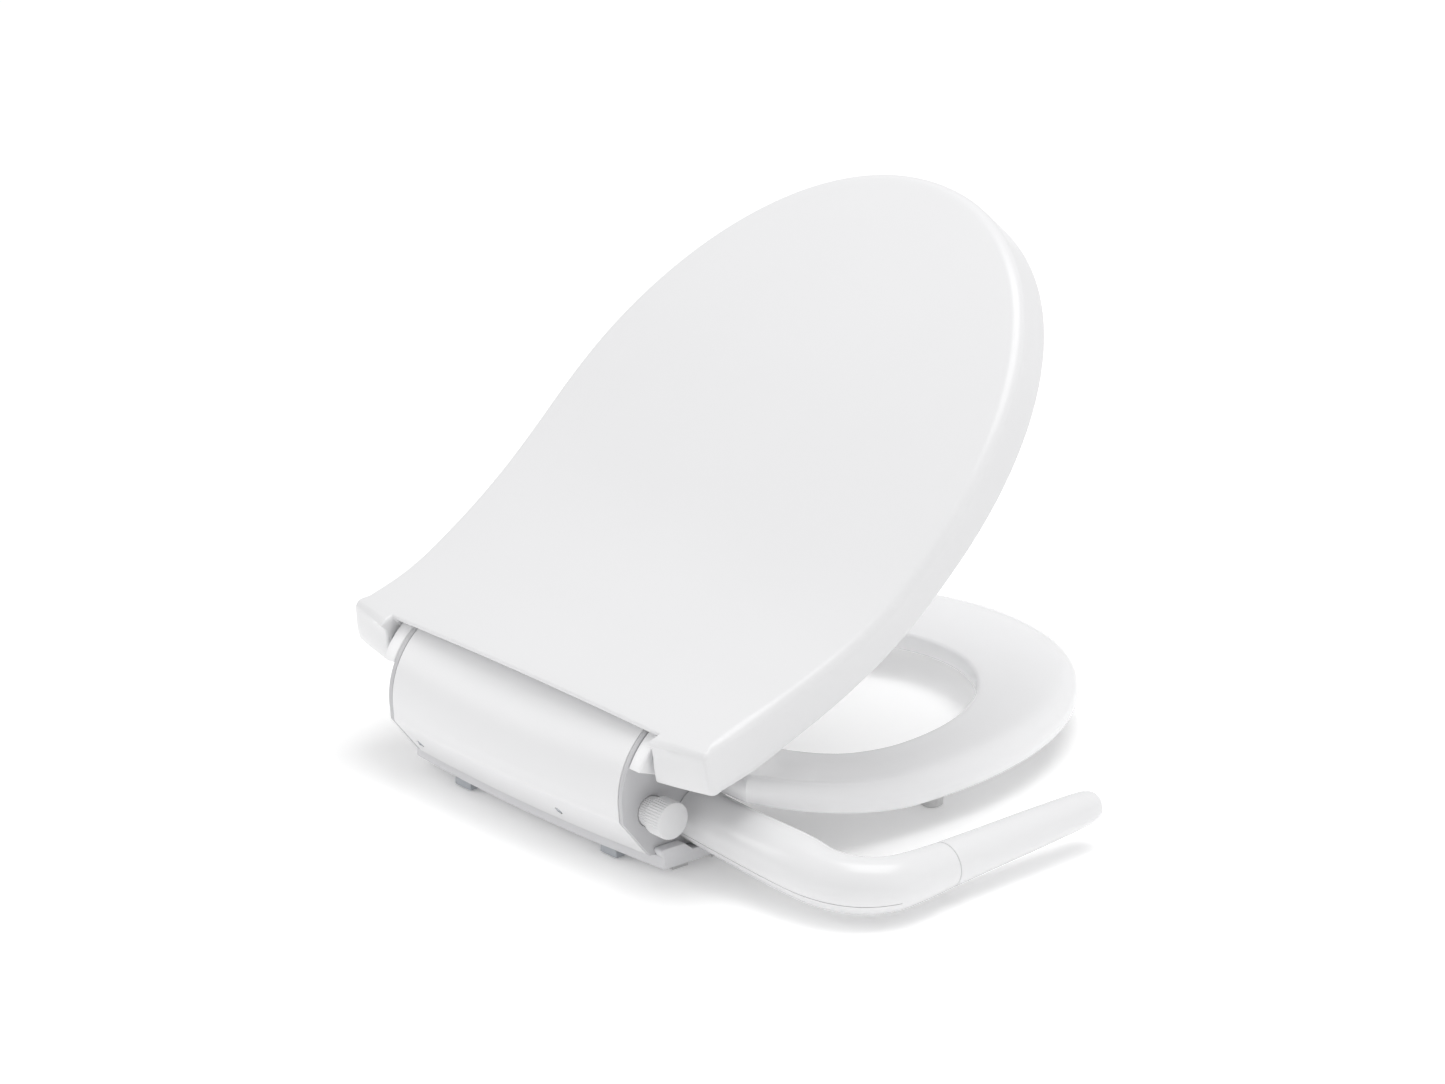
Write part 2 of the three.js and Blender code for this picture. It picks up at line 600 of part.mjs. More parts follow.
// Outer and inner plan points of the seat ring that face each other, at "turn" of a full turn.
function seatStation(turn) {
  const a = turn * 2 * Math.PI;
  const c = Math.cos(a);
  const s = Math.sin(a);
  const front = s >= 0;
  const inner = [
    openingHalfWidth * c,
    openingMidY + (front ? openingFront - openingMidY : openingMidY - openingRear) * s];
  let outer;
  if (front) {
    outer = [
      seatHalfWidth * Math.sign(c) * Math.abs(c) ** (2 / 2.06),
      seatWidestY + (seatFront - seatWidestY) * s ** (2 / 2.08)];
  } else {
    // the sides run back to square rear corners
    const down = -s;
    const cornerTurn = 0.72;
    const y = seatWidestY - (seatWidestY - seatRear) * Math.min(1, down / cornerTurn);
    const k = (seatWidestY - y) / (seatWidestY - seatRear);
    const half = seatHalfWidth - seatRearTaper * k ** 2;
    const cornerCos = Math.sqrt(1 - cornerTurn ** 2);
    const x = down < cornerTurn ? Math.sign(c || 1) * half : (half * c) / cornerCos;
    outer = [x, y];
  }
  return { outer, inner };
}

// Cross-section of the ring: share of the way in from the outer edge, and height above the lower edge.
function seatSection(width) {
  const at = (mm) => mm / width;
  return [
    [0, 0], [at(-1.6), 5], [at(-2), 9], [at(1), 14], [at(6), seatCrest - 1], [at(13), seatCrest],
    [0.45, seatCrest - 1.5], [0.75, seatCrest - 4], [1 - at(4), seatInnerEdge],
    [1, seatInnerEdge - 3], [1, 0],
    [1 - at(seatWall), 0], [1 - at(seatWall), seatInnerEdge - 4.5], [0.6, seatInnerEdge - 3],
    [at(14), seatInnerEdge - 2], [at(seatWall), 8], [at(seatWall), 0]];
}

function makeSeat() {
  const stations = 72;
  const rings = [];
  for (let i = 0; i < stations; i += 1) {
    const { outer, inner } = seatStation(i / stations);
    const width = Math.hypot(outer[0] - inner[0], outer[1] - inner[1]);
    rings.push(seatSection(width).map(([share, height]) => {
      const x = outer[0] + (inner[0] - outer[0]) * share;
      const y = outer[1] + (inner[1] - outer[1]) * share;
      return [x, y, seatBottomZ(y) + height];
    }));
  }
  let ring = skin(rings.reverse(), true);

  // Hinge ears: flush with the round back behind, running down into the rear of the ring.
  const earArc = backArc(arcRadius - 0.2, lipZ - 0.2, 76, 8);
  const earProfile = [
    ...earArc, [-22, 72.5], [-6, 66.5], [seatRear - 4, 58], [seatRear + 26, seatBottomZ(seatRear + 26) + 9],
    [seatRear + 26, seatBottomZ(seatRear + 26) + 12], [seatRear - 4, 69], [2, hingeZ + 2.6]].reverse();
  for (const side of [-1, 1]) {
    const a = side * seatEarInner;
    const b = side * seatEarOuter;
    ring = ring.add(prismX(earProfile, Math.min(a, b), Math.max(a, b)));
  }
  const holeEnd = seatEarOuter + 2;
  ring = ring.subtract(rod('x', [-holeEnd, hingeY, hingeZ], holeEnd * 2, pinRadius + pinClearance));
  addNode('seat_ring', ring, seatPlastic);

  const ringMiddle = (openingHalfWidth + seatHalfWidth) / 2;
  const bumperAt = [
    ['front_left', -98, 300], ['front_right', 98, 300],
    ['rear_left', -ringMiddle, 190], ['rear_right', ringMiddle, 190]];
  for (const [name, x, y] of bumperAt) {
    const roof = seatBottomZ(y) + seatInnerEdge - 4.2;
    addNode(`seat_bumper_${name}`, rod('z', [x, y, 0], roof - gap, 7, 9, 20), rubber);
  }
}

// ---------------------------------------------------------------- side arm and grip
// Reach from the housing, y, z and radius of the arm.
const armPoints = [
  [-4, 22.5, 32.4, 17.4], [37.5, 23, 29.6, 17.8], [85.5, 24.5, 27, 18.9], [111.5, 27, 24.6, 17.8],
  [130.5, 36, 23.7, 17.4], [140, 52, 23.2, 16.7], [140.5, 72, 22.6, 15.6], [138.3, 96.7, 22, 14.3]];
const armEnd = armStartX + armPoints[armPoints.length - 1][0];
const armPath = new THREE.CatmullRomCurve3(
  armPoints.map(([x, y, z]) => new THREE.Vector3(armStartX + x, y, z)));

function armRadius(t) {
  const at = t * (armPoints.length - 1);
  const i = Math.min(armPoints.length - 2, Math.floor(at));
  return armPoints[i][3] + (armPoints[i + 1][3] - armPoints[i][3]) * (at - i);
}

const gripStart = new THREE.Vector3(armEnd - 0.1, 97.6, 22);
const gripEnd = new THREE.Vector3(armEnd - 4.5, 226, 25.6);

function makeArm() {
  const steps = 30;
  const outer = sweep(armPath, armRadius, steps, 24);
  const bore = sweep(armPath, (t) => armRadius(t) * armBore, steps, 12);
  // bore ends run past both faces of the arm
  const ends = union(
    rod('x', [armStartX - 8, 22.5, 32.4], 6, armRadius(0) * armBore, armRadius(0) * armBore, 12),
    rod('y', [armEnd, 92, 22], 10, gripBore, gripBore, 12));
  const housingSide = box(armStartX - 20, armStartX, -20, 80, -20, 80);
  const shell = subtract(outer, bore, ends, housingSide);
  // the lower cover: the underside of the arm from its root to the elbow
  const cut = (drop) => {
    const rings = [];
    for (let i = 0; i <= 20; i += 1) {
      const t = (i / 20) * 0.72;
      const p = armPath.getPoint(t);
      const low = p.z - armRadius(t) * 0.42 + drop;
      const along = armPath.getTangent(t);
      const n = new THREE.Vector3(along.y, -along.x, 0).normalize().multiplyScalar(30);
      rings.push([
        [p.x - n.x, p.y - n.y, low], [p.x + n.x, p.y + n.y, low],
        [p.x + n.x, p.y + n.y, low - 40], [p.x - n.x, p.y - n.y, low - 40]]);
    }
    return skin(rings);
  };
  addNode('arm_upper_shell', shell.subtract(cut(gap / 2)), armPlastic);
  addNode('arm_lower_cover', shell.intersect(cut(-gap / 2)), armPlastic);
}

function makeGrip() {
  const axis = gripEnd.clone().sub(gripStart);
  const length = axis.length();
  const profile = [
    [0, 0.6], [14.1, 0.6], [14.2, 2], [13.4, 30], [12.4, 70], [11.2, 105],
    [10.2, length - 8], [7.6, length - 3], [4, length - 0.6], [0, length]];
  const body = solid(new THREE.LatheGeometry(profile.map(([r, y]) => new THREE.Vector2(r, y)), 32));
  const grip = geometryOf(body.subtract(rod('y', [0, -1, 0], 35, gripBore, gripBore, 20)));
  const turn = new THREE.Quaternion().setFromUnitVectors(new THREE.Vector3(0, 1, 0), axis.normalize());
  const place = new THREE.Matrix4().compose(gripStart, turn, new THREE.Vector3(1, 1, 1));
  addNode('control_grip', grip.applyMatrix4(place), armPlastic);
  const spindle = rod('y', [0, -14, 0], 47, gripBore - 0.6, gripBore - 0.6, 20);
  addNode('grip_spindle', geometryOf(spindle).applyMatrix4(place), innerPlastic);
}

// ---------------------------------------------------------------- knob
function makeKnob() {
  const flutes = 36;
  const outline = [];
  for (let i = 0; i < flutes * 2; i += 1) {
    const a = (Math.PI * i) / flutes;
    const r = knobRadius - (i % 2 ? 0.6 : 0);
    outline.push([r * Math.cos(a), r * Math.sin(a)]);
  }
  const cap = prismX(outline.map(([u, v]) => [u + knobY, v + knobZ]), knobFace - knobLength, knobFace - 1.2);
  const face = rod('x', [knobFace - 1.2, knobY, knobZ], 1.2, knobRadius - 0.7, knobRadius - 1.9, 36);
  const socket = rod('x', [knobFace - knobLength - 1, knobY, knobZ], 10, knobSpindleRadius + gap / 2);
  addNode('knob_cap', subtract(union(cap, face), socket), knobPlastic);
  const neck = subtract(
    rod('x', [housingHalfWidth - 6, knobY, knobZ], knobFace - knobLength - gap - housingHalfWidth + 6,
      knobNeckRadius, knobNeckRadius, 32),
    rod('x', [housingHalfWidth - 8, knobY, knobZ], 30, knobSpindleRadius + gap / 2));
  addNode('knob_neck', neck, knobPlastic);
  const spindleStart = housingHalfWidth - 30;
  const spindle = rod('x', [spindleStart, knobY, knobZ],
    knobFace - knobLength + 8 - spindleStart, knobSpindleRadius);
  addNode('knob_spindle', spindle, brass);
}

makeBase();
makeHousing();
makeWaterParts();
makeNozzles();
makeHinge();
makeLid();
makeSeat();
makeArm();
makeGrip();
makeKnob();

export default root;
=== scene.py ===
import math

import bmesh
import bpy
import numpy as np
from mathutils import Matrix, Vector
from mathutils.geometry import delaunay_2d_cdt


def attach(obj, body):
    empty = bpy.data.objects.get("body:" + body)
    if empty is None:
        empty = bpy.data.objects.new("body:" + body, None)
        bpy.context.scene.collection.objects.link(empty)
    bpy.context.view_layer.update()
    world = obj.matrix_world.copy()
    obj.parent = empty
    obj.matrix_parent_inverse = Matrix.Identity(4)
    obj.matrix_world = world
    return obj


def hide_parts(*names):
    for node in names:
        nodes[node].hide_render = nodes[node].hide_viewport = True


# A manual bidet seat: housing, seat ring, lid and side arm.
# Sizes are millimetres, and turn to metres where a mesh is made.
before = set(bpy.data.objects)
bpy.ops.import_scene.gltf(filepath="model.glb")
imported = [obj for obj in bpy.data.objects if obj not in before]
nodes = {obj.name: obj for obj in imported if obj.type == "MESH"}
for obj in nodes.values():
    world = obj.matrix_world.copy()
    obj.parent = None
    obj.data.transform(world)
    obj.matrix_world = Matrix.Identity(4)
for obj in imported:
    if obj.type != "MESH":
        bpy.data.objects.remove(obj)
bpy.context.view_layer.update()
scene = bpy.context.scene
mm = 0.001
print("frame loaded")

# camera, floor and light, placed in metres
camera = {
    "place": (3.39919, -2.77805, 1.84700),
    "azimuth": 49.37,
    "elevation": 20.80,
    "lens": 193.667,
}
studio = {
    "floorHalf": 6.0,
    "floorHex": "#fdfdfd",
    "worldHex": "#ffffff",
    "worldStrength": 0.66,
    "floorGlow": 0.14,
    "lights": [
        # name, place, aim, size, watts
        ("overheadSoftbox", (0.3, 0.5, 2.6), (0.0, 0.1, 0.1), 1.9, 33),
        ("rightSoftbox", (2.6, 0.9, 0.9), (0.0, 0.15, 0.1), 1.5, 3),
        ("leftFill", (-2.4, -2.0, 1.7), (0.0, 0.1, 0.15), 1.6, 13),
    ],
}


def linearColour(hexText):
    channels = [int(hexText[i:i + 2], 16) / 255 for i in (1, 3, 5)]
    return tuple(c / 12.92 if c <= 0.04045 else ((c + 0.055) / 1.055) ** 2.4 for c in channels) + (1.0,)


def addNode(tree, kind, inputs=None, **settings):
    # an input is a value, a socket, or a sum such as ("ADD", width, 0.5)
    node = tree.nodes.new(kind)
    for name, value in settings.items():
        setattr(node, name, value)
    for key, value in (inputs or {}).items():
        if isinstance(value, tuple) and isinstance(value[0], str):
            operation, *parts = value
            value = addNode(tree, "ShaderNodeMath", dict(enumerate(parts)), operation=operation).outputs[0]
        if isinstance(value, bpy.types.NodeSocket):
            tree.links.new(value, node.inputs[key])
        else:
            node.inputs[key].default_value = value
    return node


def makeCamera():
    turn = math.radians(camera["azimuth"])
    tilt = math.radians(camera["elevation"])
    level = Vector((-math.sin(turn), math.cos(turn), 0))
    right = Vector((math.cos(turn), math.sin(turn), 0))
    ahead = math.cos(tilt) * level - math.sin(tilt) * Vector((0, 0, 1))
    up = right.cross(ahead)
    data = bpy.data.cameras.new("camera")
    data.lens = camera["lens"]
    data.sensor_width = 36
    data.clip_end = 50
    item = bpy.data.objects.new("camera", data)
    turnTo = Matrix((right, up, -ahead)).transposed().to_4x4()
    item.matrix_world = Matrix.Translation(camera["place"]) @ turnTo
    scene.collection.objects.link(item)
    scene.camera = item


def makeStudio():
    half = studio["floorHalf"]
    mesh = bpy.data.meshes.new("floor")
    corners = [(-half, -half, 0), (half, -half, 0), (half, half, 0), (-half, half, 0)]
    mesh.from_pydata(corners, [], [(0, 1, 2, 3)])
    floor = bpy.data.objects.new("floor", mesh)
    scene.collection.objects.link(floor)
    paper = bpy.data.materials.new("matteStudioPaper")
    paper.use_nodes = True
    shader = paper.node_tree.nodes["Principled BSDF"]
    shader.inputs["Base Color"].default_value = linearColour(studio["floorHex"])
    shader.inputs["Roughness"].default_value = 0.9
    shader.inputs["Specular IOR Level"].default_value = 0.1
    shader.inputs["Emission Color"].default_value = linearColour(studio["floorHex"])
    shader.inputs["Emission Strength"].default_value = studio["floorGlow"]
    mesh.materials.append(paper)
    world = bpy.data.worlds.new("studioWorld")
    world.use_nodes = True
    glow = world.node_tree.nodes["Background"]
    glow.inputs["Color"].default_value = linearColour(studio["worldHex"])
    glow.inputs["Strength"].default_value = studio["worldStrength"]
    scene.world = world
    for name, place, aim, size, watts in studio["lights"]:
        lamp = bpy.data.lights.new(name, "AREA")
        lamp.shape = "SQUARE"
        lamp.size = size
        lamp.energy = watts
        item = bpy.data.objects.new(name, lamp)
        item.location = place
        item.rotation_euler = (Vector(aim) - Vector(place)).to_track_quat("-Z", "Y").to_euler()
        scene.collection.objects.link(item)
    scene.view_settings.view_transform = "Standard"


makeCamera()
makeStudio()
print("camera and studio made")

# materials
materials = {}


def newMaterial(name):
    material = bpy.data.materials.new(name)
    material.use_nodes = True
    materials[name] = material
    tree = material.node_tree
    place = addNode(tree, "ShaderNodeTexCoord").outputs["Object"]
    return tree, tree.nodes["Principled BSDF"], place


def drawPattern(tree, shader, factor, pale, deep, smooth, coarse):
    # the pattern moves the colour from pale to deep and the roughness from smooth to coarse
    # inputs 6 and 7 of a colour mix are its two colours, and output 2 is the result
    colours = {0: factor, 6: linearColour(pale), 7: linearColour(deep)}
    tone = addNode(tree, "ShaderNodeMix", colours, data_type="RGBA")
    tree.links.new(tone.outputs[2], shader.inputs["Base Color"])
    sheen = addNode(tree, "ShaderNodeMapRange", {"Value": factor, "To Min": smooth, "To Max": coarse})
    tree.links.new(sheen.outputs["Result"], shader.inputs["Roughness"])


def mouldedPlastic(name, pale, deep, rough, grain):
    tree, shader, place = newMaterial(name)
    # slow drift of the melt, about 90 mm across, in tone and polish
    drift = addNode(tree, "ShaderNodeTexNoise", {"Vector": place, "Scale": 11.0, "Detail": 2.0})
    drawPattern(tree, shader, drift.outputs["Fac"], pale, deep, rough - 0.01, rough + 0.01)
    if grain:
        # spark-eroded texture, 0.6 mm grain
        spark = addNode(tree, "ShaderNodeTexNoise", {"Vector": place, "Scale": 1600.0, "Detail": 2.0})
        bump = addNode(tree, "ShaderNodeBump", {
            "Height": spark.outputs["Fac"], "Strength": grain, "Distance": 0.0003})
        tree.links.new(bump.outputs["Normal"], shader.inputs["Normal"])
    shader.inputs["IOR"].default_value = 1.5


looks = {
    # name: pale tone, deep tone, roughness, grain
    "glossPolypropyleneLid": ("#e6e6e7", "#e4e4e5", 0.28, 0.0),  # polished mould, broad soft highlights
    "glossPolypropyleneSeat": ("#f2f2f3", "#f0f0f1", 0.24, 0.0),  # the same, smoother and whiter
    "glossAbsHousing": ("#ebebec", "#e9e9ea", 0.3, 0.0),  # polished mould, a little softer
    "satinAbsEnd": ("#c6c6c8", "#c4c4c6", 0.42, 0.03),  # fine texture, hardly shiny; the dark grey tone is painted shade from the lid's ears
    "satinAbsBase": ("#e0e0e2", "#dedee0", 0.44, 0.03),  # the same texture in white
    "glossAbsArm": ("#e9e9ea", "#e7e7e8", 0.22, 0.0),  # the glossiest part, with small highlights
    "satinAbsKnob": ("#e4e4e5", "#e1e1e2", 0.44, 0.02),  # light texture, soft sheen along the ribs
    "greyAcetalInner": ("#d6d8da", "#cdd0d3", 0.5, 0.05),  # dull pale grey of the inner parts
    "paleSiliconeRubber": ("#dadada", "#d2d2d2", 0.75, 0.1),  # matt and slightly rough
    "milkyPolyethyleneTube": ("#e4e8ea", "#d9dfe2", 0.35, 0.0),  # cool white with a waxy sheen
}
for lookName, look in looks.items():
    mouldedPlastic(lookName, *look)


def turnedMetal(name, pale, deep, rough, tool):
    tree, shader, place = newMaterial(name)
    shader.inputs["Metallic"].default_value = 1.0
    # tool marks: noise "tool" millimetres wide and six times finer in height
    stretch = addNode(tree, "ShaderNodeMapping", {"Vector": place, "Scale": (1.0, 1.0, 6.0)})
    marks = addNode(tree, "ShaderNodeTexNoise", {
        "Vector": stretch.outputs["Vector"], "Scale": 1000 / tool, "Detail": 3.0})
    drawPattern(tree, shader, marks.outputs["Fac"], pale, deep, rough - 0.06, rough + 0.08)
    bump = addNode(tree, "ShaderNodeBump", {
        "Height": marks.outputs["Fac"], "Strength": 0.15, "Distance": 0.0002})
    tree.links.new(bump.outputs["Normal"], shader.inputs["Normal"])


turnedMetal("zincPlatedSteel", "#c9ccd0", "#aeb2b7", 0.3, 0.8)  # bright grey with fine dull streaks
turnedMetal("machinedBrass", "#cfae68", "#b9934c", 0.34, 0.7)  # warm yellow with the same streaks
print("materials made")


# mesh helpers
def meshPiece(name, points, faces, material, crease=35):
    mesh = bpy.data.meshes.new(name)
    mesh.from_pydata([Vector(p) * mm for p in points], [], faces)
    work = bmesh.new()
    work.from_mesh(mesh)
    bmesh.ops.remove_doubles(work, verts=work.verts, dist=2e-6)
    bmesh.ops.recalc_face_normals(work, faces=work.faces)
    work.to_mesh(mesh)
    work.free()
    mesh.materials.append(materials[material])
    item = bpy.data.objects.new(name, mesh)
    scene.collection.objects.link(item)
    return smoothed(item, crease)


def smoothed(item, crease=35):
    item.data.shade_smooth()
    item.data.set_sharp_from_angle(angle=math.radians(crease))
    return item


def evened(item):
    # keeps broad faces flat beside cut edges
    step = item.modifiers.new("normals", "WEIGHTED_NORMAL")
    step.keep_sharp = True
    return baked(item)


def baked(item):
    graph = bpy.context.evaluated_depsgraph_get()
    mesh = bpy.data.meshes.new_from_object(item.evaluated_get(graph))
    item.modifiers.clear()
    item.data = mesh
    return item


def combine(item, tool, operation):
    step = item.modifiers.new("combine", "BOOLEAN")
    step.operation = operation
    step.solver = "EXACT"
    step.object = tool
    baked(item)
    bpy.data.objects.remove(tool)


def softened(item, width):
    step = item.modifiers.new("edges", "BEVEL")
    step.limit_method = "ANGLE"
    step.angle_limit = math.radians(40)
    step.width = width * mm
    step.segments = 2
    step.use_clamp_overlap = True
    return smoothed(baked(item))


def finishPiece(item, body, slotName, *replaced):
    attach(item, body)
    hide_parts(*replaced)


def loft(rings, around=False):
    # walls between the rings, with a face at either end or joined right round
    count = len(rings[0])
    points = [p for ring in rings for p in ring]
    faces = []
    for i in range(len(rings) if around else len(rings) - 1):
        a = i * count
        b = ((i + 1) % len(rings)) * count
        for j in range(count):
            k = (j + 1) % count
            faces.append((a + j, a + k, b + k, b + j))
    if not around:
        faces.append(tuple(reversed(range(count))))
        faces.append(tuple(range(len(points) - count, len(points))))
    return points, faces


def rounded(corners, steps=4):
    outline = []
    for i, (u, v, radius) in enumerate(corners):
        here = Vector((u, v))
        back = Vector(corners[i - 1][:2]) - here
        ahead = Vector(corners[(i + 1) % len(corners)][:2]) - here
        half = back.angle(ahead) / 2 if radius else 0
        if not radius or half > math.radians(88):  # sharp or almost straight
            outline.append((u, v))
            continue
        reach = min(radius / math.tan(half), 0.45 * back.length, 0.45 * ahead.length)
        radius = reach * math.tan(half)
        middle = here + (back.normalized() + ahead.normalized()).normalized() * radius / math.sin(half)
        start = here + back.normalized() * reach - middle
        end = here + ahead.normalized() * reach - middle
        sweepAngle = start.angle_signed(end)
        for k in range(steps + 1):
            spoke = start.copy()
            spoke.rotate(Matrix.Rotation(-sweepAngle * k / steps, 2))
            outline.append(tuple(middle + spoke))
    return outline


def inset(outline, distance):
    area = sum(a[0] * b[1] - b[0] * a[1] for a, b in zip(outline, outline[1:] + outline[:1]))
    side = 1 if area > 0 else -1
    moved = []
    for i, (u, v) in enumerate(outline):
        back = (Vector((u, v)) - Vector(outline[i - 1])).normalized()
        ahead = (Vector(outline[(i + 1) % len(outline)]) - Vector((u, v))).normalized()
        normal = Vector((-back.y - ahead.y, back.x + ahead.x)) * side
        if normal.length < 1e-6:
            moved.append((u, v))
            continue
        normal.normalize()
        # further at a corner, but not without end at a sharp one
        spread = max(0.35, abs(normal.dot(Vector((-ahead.y, ahead.x)))))
        moved.append((u + normal.x * distance / spread, v + normal.y * distance / spread))
    return moved


def plate(outline, start, end, edge, toPoint, steps=1):
    # a slab of the outline from start to end, with both rims rounded in three steps
    angles = [math.pi / 2 * k / 3 for k in range(4)]
    levels = [(start + edge * (1 - math.cos(a)), edge * (1 - math.sin(a))) for a in angles]
    inner = [(start + edge + (end - start - 2 * edge) * k / steps, 0) for k in range(1, steps)]
    mirror = [(start + end - w, d) for w, d in reversed(levels)]
    rings = []
    for w, distance in levels + inner + mirror:
        rings.append([toPoint(u, v, w) for u, v in inset(outline, distance)])
    return loft(rings)


def alongX(u, v, w):
    return (w, u, v)


def alongZ(u, v, w):
    return (u, v, w)


def between(side, inner, outer):
    # the lower and the higher x of a span on the left (-1) or right (1) side
    return sorted((side * inner, side * outer))


def mirrored(points):
    return [(-x, y, radius) for x, y, radius in reversed(points)]


def turned(profile, sides, matrix):
    rings = []
    for radius, height in profile:
        turns = [2 * math.pi * j / sides for j in range(sides)]
        rings.append([matrix @ Vector((radius * math.cos(a), radius * math.sin(a), height)) for a in turns])
    return loft(rings)


def towards(place, direction):
    turn = Vector((0, 0, 1)).rotation_difference(Vector(direction)).to_matrix().to_4x4()
    return Matrix.Translation(place) @ turn


def rodTool(place, direction, length, radius):
    cylinder = turned([(radius, 0), (radius, length)], 48, towards(place, direction))
    return meshPiece("tool", *cylinder, "satinAbsBase")


def pinTool(fromX, length):
    place = (fromX, housing["hingeY"], housing["hingeZ"])
    return rodTool(place, (1, 0, 0), length, housing["pinHole"])


def boxTool(low, high):
    points = [(x, y, z) for x in (low[0], high[0]) for y in (low[1], high[1])
              for z in (low[2], high[2])]
    faces = [(0, 1, 3, 2), (4, 6, 7, 5), (0, 4, 5, 1), (2, 3, 7, 6), (0, 2, 6, 4), (1, 5, 7, 3)]
    return meshPiece("tool", points, faces, "satinAbsBase")


def through(points, t):
    # a smooth curve through the points, t from 0 to 1, with straight run-outs
    at = min(max(t, 0), 1) * (len(points) - 1)
    i = min(int(at), len(points) - 2)
    s = at - i
    p = [np.array(points[max(0, min(len(points) - 1, i + k))], float) for k in (-1, 0, 1, 2)]
    if i == 0:
        p[0] = 2 * p[1] - p[2]
    if i == len(points) - 2:
        p[3] = 2 * p[2] - p[1]
    return 0.5 * (2 * p[1] + (p[2] - p[0]) * s + (2 * p[0] - 5 * p[1] + 4 * p[2] - p[3]) * s ** 2
                  + (3 * p[1] - p[0] - 3 * p[2] + p[3]) * s ** 3)


def coverOutline(outline, spacing, heightAt):
    # fills the outline with small triangles that lie on the surface
    ring = np.array([p[:2] for p in outline])
    low = ring.min(0)
    high = ring.max(0)
    # staggered rows, so that the triangles are all alike
    rows = np.arange(low[1] + spacing / 2, high[1], spacing * 0.87)
    grid = np.array([(x + spacing / 2 * (j % 2), y) for j, y in enumerate(rows)
                     for x in np.arange(low[0] + spacing / 2, high[0], spacing)])
    following = np.roll(ring, -1, 0)
    inside = np.zeros(len(grid), bool)
    nearest = np.full(len(grid), 1e9)
    for a, b in zip(ring, following):
        crosses = (a[1] > grid[:, 1]) != (b[1] > grid[:, 1])
        with np.errstate(divide="ignore", invalid="ignore"):
            at = (b[0] - a[0]) * (grid[:, 1] - a[1]) / (b[1] - a[1]) + a[0]
        inside ^= crosses & (grid[:, 0] < at)
        span = b - a
        share = np.clip(((grid - a) @ span) / max(1e-9, span @ span), 0, 1)
        nearest = np.minimum(nearest, np.linalg.norm(grid - a - share[:, None] * span, axis=1))
    grid = grid[inside & (nearest > spacing * 0.55)]
    flat = [Vector(p) for p in ring] + [Vector(p) for p in grid]
    _, _, triangles, origin, _, _ = delaunay_2d_cdt(flat, [], [list(range(len(ring)))], 1, 1e-5)
    points = [tuple(p) for p in outline] + [(x, y, heightAt(x, y)) for x, y in grid]
    faces = [tuple(origin[i][0] for i in triangle) for triangle in triangles]
    return points, faces


def closedBody(rings, spacing, topHeight):
    # the rings as walls, one face under them and a finely meshed surface on top
    points, faces = loft(rings)
    faces = faces[:-2]
    count = len(rings[0])
    last = len(points) - count
    morePoints, moreFaces = coverOutline(rings[-1], spacing, topHeight)
    extra = len(points) - count
    points = points + morePoints[count:]
    faces += [tuple(last + i if i < count else extra + i for i in face) for face in moreFaces]
    faces.append(tuple(reversed(range(count))))
    return points, faces


# housing
housing = {
    "halfWidth": 112, "capThickness": 3.4, "wall": 2.6, "gap": 0.4,
    "backRadius": 50.7, "backY": 14, "backZ": 55, "lipZ": 97.2, "arcLowZ": 47,
    "foldY": -35.6, "foldZ": 40, "foldRadius": 5, "footY": -14.8, "footZ": 14.4,
    "bow": 0.0004, "bowTopZ": 88, "bowFade": 40, "topFrontY": 23, "topFrontZ": 72, "topRearZ": 87.5,
    "noseTopZ": 46, "noseFrontY": 80, "noseFrontZ": 34, "baseFront": 52,
    "noseHalfWidth": 60, "gateHalfWidth": 19, "gateLowZ": 10, "gateHighZ": 28,
    "hingeY": -17.5, "hingeZ": 83.4, "pinHole": 4.35, "capEdge": 0.3,
}


def backArc(radius, fromZ, toZ, count):
    h = housing
    start = math.asin((fromZ - h["backZ"]) / radius)
    end = math.asin((toZ - h["backZ"]) / radius)
    angles = [start + (end - start) * i / count for i in range(count + 1)]
    return [(h["backY"] - radius * math.cos(a), h["backZ"] + radius * math.sin(a), 0) for a in angles]


def bowedX(u, v, w):
    # the back bulges between its ends, most at the foot and not at all at the top
    fade = min(1, max(0, (housing["bowTopZ"] - v) / housing["bowFade"]))
    return (w, u - housing["bow"] * (housing["halfWidth"] ** 2 - w * w) * fade, v)


def backProfile():
    h = housing
    arc = backArc(h["backRadius"], h["lipZ"], h["arcLowZ"], 30)
    return arc + [(h["foldY"], h["foldZ"], h["foldRadius"]), (h["footY"], h["footZ"], 0.6)]


def lipY():
    return backArc(housing["backRadius"], housing["lipZ"], housing["arcLowZ"], 1)[0][0]


def makeRearCover():
    h = housing
    inner = [(h["footY"] + h["wall"] * 1.3, h["footZ"], 0.6), (h["foldY"] + h["wall"], h["foldZ"] + 0.8, 3)]
    inner += reversed(backArc(h["backRadius"] - h["wall"], h["lipZ"] - 1.2, h["arcLowZ"], 30))
    outline = rounded(backProfile() + inner)
    end = h["halfWidth"] - h["capThickness"] - h["gap"]
    points, faces = plate(outline, -end, end, 0.5, bowedX, steps=36)
    cover = meshPiece("rearCover", points, faces, "glossAbsHousing", 30)
    # a round hole for each screw, a little wider than its head
    for x, z in screws["places"]:
        y = footSurfaceY(x, z)
        combine(cover, rodTool((x, y - 3, z), (0, 1, 0), 8, screws["radius"] + 0.5), "DIFFERENCE")
    evened(smoothed(cover, 30))
    finishPiece(cover, "housing", "housing", "rear_cover")


